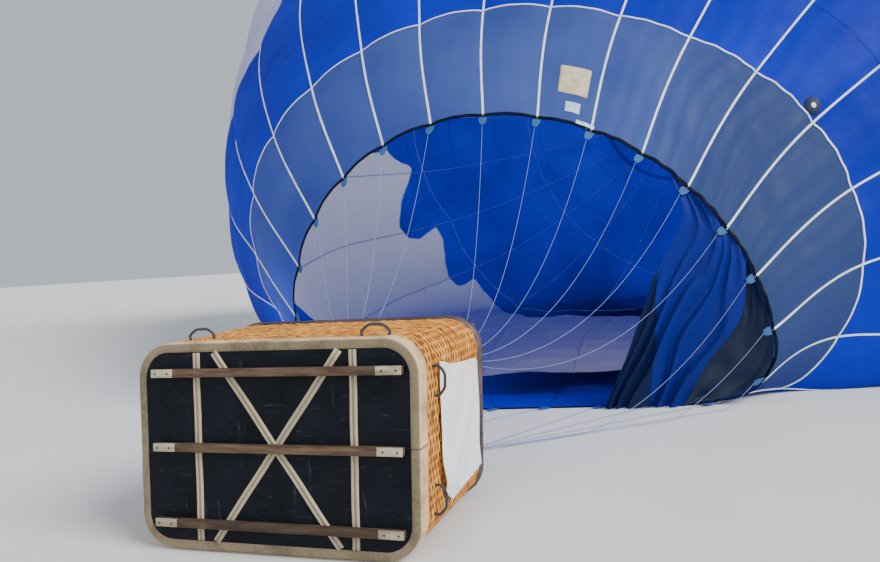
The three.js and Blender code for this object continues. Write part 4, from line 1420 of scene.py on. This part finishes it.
def chamferedBlock(low, high, chamfer):
    low, high = np.array(low, float), np.array(high, float)
    middle, half = (low + high) / 2, (high - low) / 2
    rows = []
    for at, inset in ((-1, 1), (-1, 0), (1, 0), (1, 1)):
        y = half[1] * at - (chamfer * at if inset == 0 else 0)
        a, b = half[0] - chamfer * inset, half[2] - chamfer * inset
        rows.append([middle + (sx * (a - chamfer * cx), y, sz * (b - chamfer * cz))
                     for sx, sz, cx, cz in ((1, 1, 0, 1), (1, 1, 1, 0), (1, -1, 1, 0), (1, -1, 0, 1),
                                            (-1, -1, 0, 1), (-1, -1, 1, 0), (-1, 1, 1, 0), (-1, 1, 0, 1))])
    return bar(rows)


def makeMetal(name, color, worn, rough, streak=(1, 1, 1)):
    paint = Paint(name)
    stain = paint.noise(6, 5)
    brush = paint.noise(90, 3, streak)
    return paint.finish(
        Base_Color=paint.mix(paint.range(stain, 0.42, 0.72), color, worn), Metallic=1.0,
        Roughness=paint.range(brush * 0.5 + stain * 0.5, 0.3, 0.7, (rough, rough + 0.16)),
        Normal=paint.bump(brush, 0.12, 0.001))


# Fuel cylinders, with straps and valves
cylinder = {
    "profile": ((0, 0.0), (0.098, 0.0), (0.104, 0.004), (0.105, 0.030), (0.112, 0.034), (0.134, 0.046),
                (0.147, 0.066), (0.150, 0.090), (0.150, 0.380), (0.1515, 0.384), (0.1515, 0.396),
                (0.150, 0.400), (0.150, 0.720), (0.147, 0.742), (0.134, 0.766), (0.112, 0.784),
                (0.080, 0.798), (0.030, 0.802), (0.0, 0.802)),
    "collar": ((0.074, 0.790), (0.074, 0.845), (0.070, 0.8495), (0.066, 0.845), (0.066, 0.790)),
    "straps": (0.235, 0.575),
    # (radius, height) from the middle of the strap
    "strapSection": ((0.1502, -0.0225), (0.1532, -0.0189), (0.1532, 0.0189), (0.1502, 0.0225)),
    "buckle": (0.016, 0.028, 0.016),
    "buckleAt": 0.156,
    "valve": ((0, -0.004), (0.017, -0.004), (0.017, 0.012), (0.012, 0.016), (0.012, 0.030), (0.0, 0.030)),
    "valveWheel": ((0, 0.028), (0.024, 0.028), (0.027, 0.033), (0.024, 0.040), (0.0, 0.040)),
    "outlet": (0.052, 0.010, 0.008),       # its length, height and radius
}


def makeCylinders():
    s = cylinder
    straps, valves = [], []
    for i in range(4):
        name = f"fuel_cylinder_{i + 1}"
        low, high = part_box(name)
        foot = np.array(((low.x + high.x) / 2, low.y, (low.z + high.z) / 2))
        shell = joinGrids([turned(s["profile"], foot, 56), turnedRing(s["collar"], foot, 40)])
        makePiece(f"cylinder_shell_{i + 1}", shell, spunAluminium, name)
        inward = unit(np.array([middleX - foot[0], 0, basket["midZ"] - foot[2]]))
        for height in s["straps"]:
            at = foot + (0, height, 0)
            straps.append(turnedRing(s["strapSection"], at, 48))
            buckle = at + inward * s["buckleAt"]
            straps.append(chamferedBlock(buckle - s["buckle"], buckle + s["buckle"], 0.002))
        top = foot + (0, s["profile"][-1][1], 0)
        valves += [turned(s["valve"], top, 20), turned(s["valveWheel"], top, 24)]
        length, height, radius = s["outlet"]
        outlet = top + (0, height, 0), top + inward * length + (0, height, 0)
        valves.append(roundTube(outlet, radius, 14))
    makePiece("cylinder_straps", joinGrids(straps), blackTape)
    makePiece("cylinder_valves", joinGrids(valves), brassFittings)


# Uprights: padded sleeves from the rim to the load frame
sleeve = {
    "steps": 54,
    "sides": 22,
    "foot": 0.034,
    "head": 0.024,
    "footInset": 0.072,                    # from the basket's side
    "endRadius": 1.04,                     # shares of the plain radius
    "swell": 0.09,
    "fullAt": 0.05,                        # share of the length over which it swells
    "most": 1.15,
    "shades": ((0.015, 0.011, 0.009), (0.038, 0.030, 0.024), (0.085, 0.070, 0.058)),
}


def makeUprights():
    s = sleeve
    for i in range(4):
        name = f"upright_{i + 1}"
        low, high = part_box(name)
        right, up = i in (0, 1), i in (0, 3)
        foot = np.array([(high.x - s["foot"]) if right else (low.x + s["foot"]), low.y, 0.0])
        head = np.array([(low.x + s["head"]) if right else (high.x - s["head"]), high.y, 0.0])
        foot[2] = basket["midZ"] + (1 if up else -1) * (basket["halfZ"] - s["footInset"])
        inset = burner["frame"]["blockInset"] + burner["frame"]["tube"]
        head[2] = (frameHigh.z - inset) if up else (frameLow.z + inset)
        share = np.linspace(0, 1, s["steps"])[:, None]
        angle = turnsOf(s["sides"])[None, :]
        radius = s["foot"] + (s["head"] - s["foot"]) * share
        fromEnd = np.clip(np.minimum(share, 1 - share) / s["fullAt"], 0, 1)
        radius = np.minimum(radius * (s["endRadius"] + s["swell"] * fromEnd), s["foot"] * s["most"])
        radius = radius * (1 + 0.035 * waves(share * 0.9, angle * 0.03, 7, 0.2, 0.05, 70 + i))
        radius = radius * (1 + 0.07 * np.exp(-((angle - 1.2) / 0.15) ** 2))
        ring = np.stack((radius * np.cos(angle), np.zeros_like(radius), radius * np.sin(angle)), -1)
        points = (foot + (head - foot) * share)[:, None] + ring
        piece = makePiece(f"upright_sleeve_{i + 1}", bar(points), sleeveHide, name)


# Load frame, gimbal and burner
burner = {
    "y": 2.15,
    "z": 0.4486,
    "frame": {"halfX": 0.540, "halfZ": 0.400, "corner": 0.090, "tube": 0.019, "block": 0.060,
              "blockInset": 0.020, "boss": 0.500},
    "gimbal": {"halfX": 0.470, "halfZ": 0.300, "corner": 0.060, "tube": 0.013, "pin": 0.008, "reach": 0.260},
    "tubeSides": 16,
    "spacing": 0.380,
    "can": 0.150,
    "wall": 0.005,
    "length": 0.340,
    "base": 0.050,
    "coil": 0.096,
    "turns": 4,
    "coilTube": 0.0085,
    "coilSteps": 150,
    "neck": ((0, -0.110), (0.040, -0.110), (0.045, -0.104), (0.045, -0.060), (0.042, -0.056),
             (0.042, -0.046), (0.045, -0.042)),
    "knob": ((0, -0.016), (0.010, -0.016), (0.013, -0.010), (0.013, 0.006), (0.009, 0.012), (0, 0.012)),
    # the rolled ring on a can: (out from its wall, up from its shoulder)
    "lip": ((0, 0.05), (0.0015, 0.054), (0.0015, 0.062), (0, 0.066)),
}


def fromBurner(x, y, z):
    return np.array([middleX + x, underside + burner["y"] + y, burner["z"] + z])


def tubeLoop(s):
    turns = np.array(cornerTurns(s["halfX"] - s["corner"], s["halfZ"] - s["corner"], 10))
    outward = np.insert(turns[:, 2:], 1, 0, axis=1)
    path = np.insert(turns[:, :2], 1, 0, axis=1) + s["corner"] * outward + fromBurner(0, 0, 0)
    return loopOf(np.stack([path + s["tube"] * (outward * math.cos(a) + np.array([0, math.sin(a), 0]))
                            for a in turnsOf(burner["tubeSides"])], 1))


def makeLoadFrame():
    s = burner["frame"]
    grids = [tubeLoop(s)]
    half = s["block"] / 2
    for sx in (-1, 1):
        for sz in (-1, 1):
            at = fromBurner(sx * (s["halfX"] - s["blockInset"]), 0, sz * (s["halfZ"] - s["blockInset"]))
            grids.append(chamferedBlock(at - half, at + half, 0.005))
            for side in (-1, 1):
                grids.append(dome(at + (side * half, 0, 0), 0.011, 0.006, (side, 0, 0), 6))
        boss = fromBurner(sx * s["boss"], 0, 0), fromBurner(sx * s["halfX"], 0, 0)
        grids.append(roundTube(boss, s["tube"] * 1.1, 20))
    makePiece("load_frame_tubes", joinGrids(grids), polishedSteel, "load_frame")


def makeGimbal():
    s = burner["gimbal"]
    grids = [tubeLoop(s)]
    for side in (-1, 1):
        frameEnd = side * (burner["frame"]["boss"] - hairline)
        burnerEnd = side * (s["reach"] + hairline)
        for start, end in (((side * s["halfX"], 0, 0), (frameEnd, 0, 0)),
                           ((0, 0, side * s["halfZ"]), (0, 0, burnerEnd))):
            grids.append(roundTube((fromBurner(*start), fromBurner(*end)), s["pin"], 18))
    makePiece("gimbal_tubes", joinGrids(grids), polishedSteel, "gimbal_ring", "gimbal")


def makeManifold():
    s = burner
    half, reach = s["spacing"] / 2, s["gimbal"]["reach"]
    neck = (*s["neck"], (0.045, s["base"] - hairline), (0, s["base"] - hairline))
    grids = []
    for (x, y, z), chamfer in (((0.025, 0.020, reach), 0.003), ((half + 0.060, 0.030, 0.035), 0.004)):
        grids.append(chamferedBlock(fromBurner(-x, -y, -z), fromBurner(x, y, z), chamfer))
    brass = []
    for side in (-1, 1):
        grids.append(turned(neck, fromBurner(side * half, 0, 0), 32))
        low = fromBurner(side * (half + 0.030) - 0.015, -0.105, -0.125)
        grids.append(chamferedBlock(low, low + (0.030, 0.090, 0.130), 0.004))
        handle = fromBurner(side * (half + 0.030), -0.098, -0.108)
        brass.append(roundTube((handle, handle + (0, -0.010, -0.008)), 0.010, 18))
        brass.append(turned(s["knob"], fromBurner(side * (half - 0.055), -0.030, -0.046), 20))
    makePiece("burner_manifold", joinGrids(grids), polishedSteel, "burner_block", "burner")
    makePiece("burner_valves", joinGrids(brass), brassFittings, body="burner")


def makeCans():
    s = burner
    can, wall, foot, top = s["can"], s["wall"], s["base"], s["base"] + s["length"]
    shoulder = foot + 0.062
    profile = [(0, foot), (can * 0.75, foot), (can * 0.85, foot + 0.018), (can * 0.96, foot + 0.044),
               (can, shoulder), *[(can + out, shoulder + up) for out, up in s["lip"]],
               (can, top - 0.006), (can - 0.001, top), (can - wall, top), (can - wall, foot + 0.064),
               (can * 0.94 - wall, foot + 0.046), (can * 0.75 - 0.003, foot + wall), (0, foot + wall)]
    for name, side in (("left", -1), ("right", 1)):
        centre = fromBurner(side * s["spacing"] / 2, 0, 0)
        makePiece(f"burner_shroud_{name}", turned(profile, centre, 64), heatedSteel,
                  f"burner_can_{name}", "burner")
        start = foot + wall + hairline
        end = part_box(f"burner_coil_{name}")[1].y - underside - s["y"] - s["coilTube"]
        path = [centre + (s["coil"], start, 0), centre + (s["coil"], start + 0.012, 0)]
        for share in np.linspace(0, 1, s["coilSteps"] + 1):
            turn = 2 * math.pi * s["turns"] * share
            y = start + 0.024 + (end - start - 0.024) * share
            path.append(centre + (s["coil"] * math.cos(turn), y, s["coil"] * math.sin(turn)))
        makePiece(f"vapour_coil_{name}", roundTube(path, s["coilTube"], 12), heatedSteel,
                  f"burner_coil_{name}", "burner")


# Cloth at the mouth's right edge: the lining that hangs down, and beside it the band folded in
drape = {
    "gores": (3.6, 5.4),                   # where the lining hangs from the edge
    "foldGores": (5.4, 9.25),              # where the band is folded in
    "left": ((2.392, 3.980, 2.400), (2.502, 3.993, 2.033), (2.423, 3.996, 1.794), (2.199, 3.990, 1.407),
             (2.119, 3.992, 1.193), (1.969, 3.995, 0.812), (1.864, 3.997, 0.541), (1.656, 3.997, 0.097),
             (1.620, 3.990, 0.006)),
    "right": ((3.020, 4.090, 1.640), (3.084, 4.109, 1.478), (3.016, 4.129, 0.941), (2.688, 4.115, 0.487),
              (2.539, 4.112, 0.229), (2.412, 4.106, 0.006)),
    "foot": ((1.620, 3.990, 0.006), (1.900, 4.050, 0.006), (2.150, 4.100, 0.006), (2.412, 4.106, 0.006)),
    "rows": 110,
    "columns": 90,
    "foldColumns": 60,
    "folds": 0.040,
    "count": 5,
    "tuck": 0.020,                         # from the edge tape inwards
    "shades": ((0.004, 0.010, 0.16), (0.008, 0.021, 0.28)),
    "lowShade": (0.004, 0.013, 0.17),
    "navy": (0.005, 0.012, 0.060),         # along the lower part of the lining's free edge: the band's outside, its own blue darkened with painted shade
}


def between(top, low, left, right):
    # a sheet between four lines that meet at its corners
    u = np.linspace(0, 1, len(top))[None, :, None]
    v = np.linspace(0, 1, len(left))[:, None, None]
    ruled = top * (1 - v) + low * v + left[:, None] * (1 - u) + right[:, None] * u
    upper, lower = top[0] * (1 - u) + top[-1] * u, low[0] * (1 - u) + low[-1] * u
    return ruled - upper * (1 - v) - lower * v


def mouthEdge(first, last, count):
    gores = np.linspace(first, last, count)
    return onCloth([0.0], gores)[0] - envelopeNormals([0.0], gores)[0] * drape["tuck"]


def routeOf(places, count):
    return smoothRoute([fromFrame(*place) for place in places], count)[0]


def makeDrape():
    s = drape
    top = mouthEdge(*s["gores"], s["columns"])
    left, right = routeOf(s["left"], s["rows"]), routeOf(s["right"], s["rows"])
    low = routeOf(s["foot"], s["columns"])
    u, v = np.linspace(0, 1, s["columns"])[:, None], np.linspace(0, 1, s["rows"])[:, None]
    left += (top[0] - left[0]) * (1 - v) ** 4
    left += (low[0] - left[-1]) * v ** 4
    right += (top[-1] - right[0]) * (1 - v) ** 4
    low += (right[-1] - low[-1]) * u ** 2
    points = between(top, low, left, right)
    u = u.T
    fold = np.cos(2 * math.pi * (s["count"] * u ** 0.8 + 0.3 * waves(v * 2, u * 5, 4, 3, 1, 81)))
    free = np.clip(np.minimum(u, 1 - u) / 0.08, 0, 1) * np.clip(v / 0.06, 0, 1)
    depth = s["folds"] * (0.3 + 0.7 * v) * free
    points[..., 1] += fold * depth - 0.05 * np.sin(math.pi * v) * u
    points[..., 0] += 0.5 * fold * depth
    hangCloth("lining_drape", keptAbove(points, 0.004), makeDrapeCloth(), (u * 2, v * 2.5))
    makeFoldedBand(right)


def makeFoldedBand(inner):
    # the band's own cloth, turned in over the opening as far as the lining
    s = drape
    outer = mouthEdge(*s["foldGores"], s["rows"])
    u, v = np.linspace(0, 1, s["foldColumns"])[None, :], np.linspace(0, 1, s["rows"])[:, None]
    points = outer[:, None] * (1 - u[..., None]) + (inner + (0, 0.035, 0))[:, None] * u[..., None]
    free = np.clip(np.minimum(u, 1 - u) / 0.15, 0, 1) * np.clip(np.minimum(v, 1 - v) / 0.08, 0, 1)
    points[..., 1] += 0.030 * free * waves(v * 3, u * 1.2, 6, 1.2, 0.35, 83) + 0.05 * free
    hangCloth("folded_band", keptAbove(points, 0.005), paintedShadeFoldedCloth, (u + 5.25, v * 2.5))


def hangCloth(name, points, material, places):
    piece = makePiece(name, sheetOf(points), material, uv=np.stack(np.broadcast_arrays(*places), -1))
    declareSheet(points)


def makeDrapeCloth():
    s = drape
    paint = Paint("drape_cloth")
    across, down = paint.uv()
    cloth = paint.ramp(paint.noise(0.9, 5), [(0.3, s["shades"][0]), (0.7, s["shades"][1])])
    color = paint.mix(paint.range(down, 0.5, 2.0) * 0.8, cloth, s["lowShade"])
    # the turned-over band's own blue, darkened with painted shade
    color = paint.mix(paint.range(across * 1.25 - down + 1.00, -0.03, 0.03), s["navy"], color)
    crease = paint.noise(3.4, 6, roughness=0.62)
    paint.glowThrough(color, 0.30)
    return paint.finish(Base_Color=color, Roughness=paint.range(crease, 0.3, 0.7, (0.46, 0.62)),
                        Specular_IOR_Level=0.16, Normal=paint.bump(crease, 0.35, 0.04))


# Patches and small fittings on the cloth
patches = {
    "section": (0.001, 0.006),             # low and high side, from the cloth
    "points": 12,
    # gore, station, half width in metres, half height in metres, colour
    "cream": (1.57, 0.45, 0.165, 0.215, (0.56, 0.47, 0.30)),
    "pale": (1.60, 0.20, 0.08, 0.075, (0.42, 0.55, 0.70)),
    "light": (1.87, 0.03, 0.10, 0.05, (0.50, 0.62, 0.74)),
    # the round patch where a line is anchored, by the ring tape: gore and station
    "anchorAt": (4.84, 1.055),
    "anchorPatch": (0.10, 0.001, 0.008),   # radius, low and high side
    "anchorRing": (0.030, 0.007, 0.016),
    "anchorSides": 24,
    "anchorColor": (0.008, 0.016, 0.060),
}


def metresPer(gore, station):
    # metres to a gore and to a station there
    here, aside, ahead = [onEnvelope([t], np.array([g]))[0, 0]
                          for g, t in ((gore, station), (gore + 0.1, station), (gore, station + 0.1))]
    return np.linalg.norm(aside - here) * 10, np.linalg.norm(ahead - here) * 10


def makePatches():
    low, high = patches["section"]
    for name in ("cream", "pale", "light"):
        gore, station, halfWidth, halfHeight, color = patches[name]
        perGore, perStation = metresPer(gore, station)
        across = np.linspace(-1, 1, patches["points"])
        gores = gore + across * halfWidth / perGore
        stations = np.maximum(station + across * halfHeight / perStation, 0)
        cotton = makePatchCloth(f"{name}_patch_cloth", color)
        makeShell(f"{name}_patch", onCloth(stations, gores, high), onCloth(stations, gores, low),
                  [cotton, cotton], clothUv(stations, gores))


def disc(gore, station, radius, low, high):
    # flat on the cloth: the middle and rim of its low side, then the rim and middle of its high side
    perGore, perStation = metresPer(gore, station)
    rows = [[onCloth([station + reach * math.sin(a) / perStation],
                     np.array([gore + reach * math.cos(a) / perGore]), lift)[0, 0]
             for a in turnsOf(patches["anchorSides"])]
            for reach, lift in ((0, low), (radius, low), (radius, high), (0, high))]
    points = np.array(rows)
    return points, gridFaces(*points.shape[:2], closeColumns=True)


def makeAnchor():
    s = patches
    makePiece("anchor_patch", disc(*s["anchorAt"], *s["anchorPatch"]),
              makePatchCloth("anchor_patch_cloth", s["anchorColor"]))
    makePiece("anchor_ring", disc(*s["anchorAt"], *s["anchorRing"]), whiteTape)


def makePatchCloth(name, color):
    paint = Paint(name)
    shade = tuple(c * 0.72 for c in color)
    return paint.finish(Base_Color=paint.mix(paint.range(paint.noise(9, 4), 0.35, 0.7), color, shade),
                        Roughness=0.7, Normal=paint.bump(paint.noise(70, 2), 0.2, 0.002))


# Materials shared by the pieces above
print("finishes")
cane = makeCane()
suedeHide = makeSuedeHide()
threadCotton = makeThread()
rimLeather = makeHide("rim_leather_hide", padding["hide"], 38, 0.42)
boardPaint = makeBoardPaint()
stripHide = makeStripHide()
runnerTimber = makeTimber("runner_timber", underParts["runnerShades"])
plateTimber = makeTimber("end_plate_timber", underParts["plateShades"])
darkSteel = makeMetal("screw_steel", (0.06, 0.055, 0.05), (0.10, 0.06, 0.04), 0.5)
handleRope = makeRopeFibre()
bannerCotton = makeBannerCotton()
spunAluminium = makeMetal("spun_aluminium", (0.55, 0.56, 0.58), (0.38, 0.39, 0.40), 0.30, (1, 0.05, 1))
brassFittings = makeMetal("brass_fittings", (0.60, 0.42, 0.16), (0.32, 0.22, 0.10), 0.28)
polishedSteel = makeMetal("polished_steel", (0.58, 0.59, 0.60), (0.42, 0.43, 0.45), 0.22)
heatedSteel = makeMetal("heated_steel", (0.46, 0.44, 0.42), (0.26, 0.20, 0.17), 0.34)
sleeveHide = makeHide("sleeve_leather", sleeve["shades"], 55, 0.5)

print("envelope")
makeGorePairs()
makeMouthBands()
makeTapes()
makeMouthEdge()
makeFlyingWires()
makeVentAndCrown()
makeDrape()
makePatches()
makeAnchor()

print("basket")
nodes["floor_board"].data.materials.clear()
nodes["floor_board"].data.materials.append(boardPaint)
makeWicker()
makeSuedeBand()
makePaddedRim()
makeBattens()
makeRunners()
makeHandles()
makeBanner()
makeCylinders()

print("burner")
makeUprights()
makeLoadFrame()
makeGimbal()
makeManifold()
makeCans()


# Floor, camera and light
def makeFloor():
    s = studio
    half, z = s["floorHalf"], -s["floorDrop"]
    corners = [(x * half, y * half, z) for x, y in ((-1, -1), (1, -1), (1, 1), (-1, 1))]
    mesh = bpy.data.meshes.new("floor")
    mesh.from_pydata(corners, [], [(0, 1, 2, 3)])
    floor = bpy.data.objects.new("floor", mesh)
    bpy.context.scene.collection.objects.link(floor)
    paint = Paint("studio_floor")
    mesh.materials.append(paint.finish(Base_Color=paint.mix(paint.noise(0.6, 4), *s["floor"]), Roughness=0.9))


print("studio")
makeFloor()
placeCamera()
hangLight("key", studio["key"])
hangLight("fill", studio["fill"])
lightWorld()
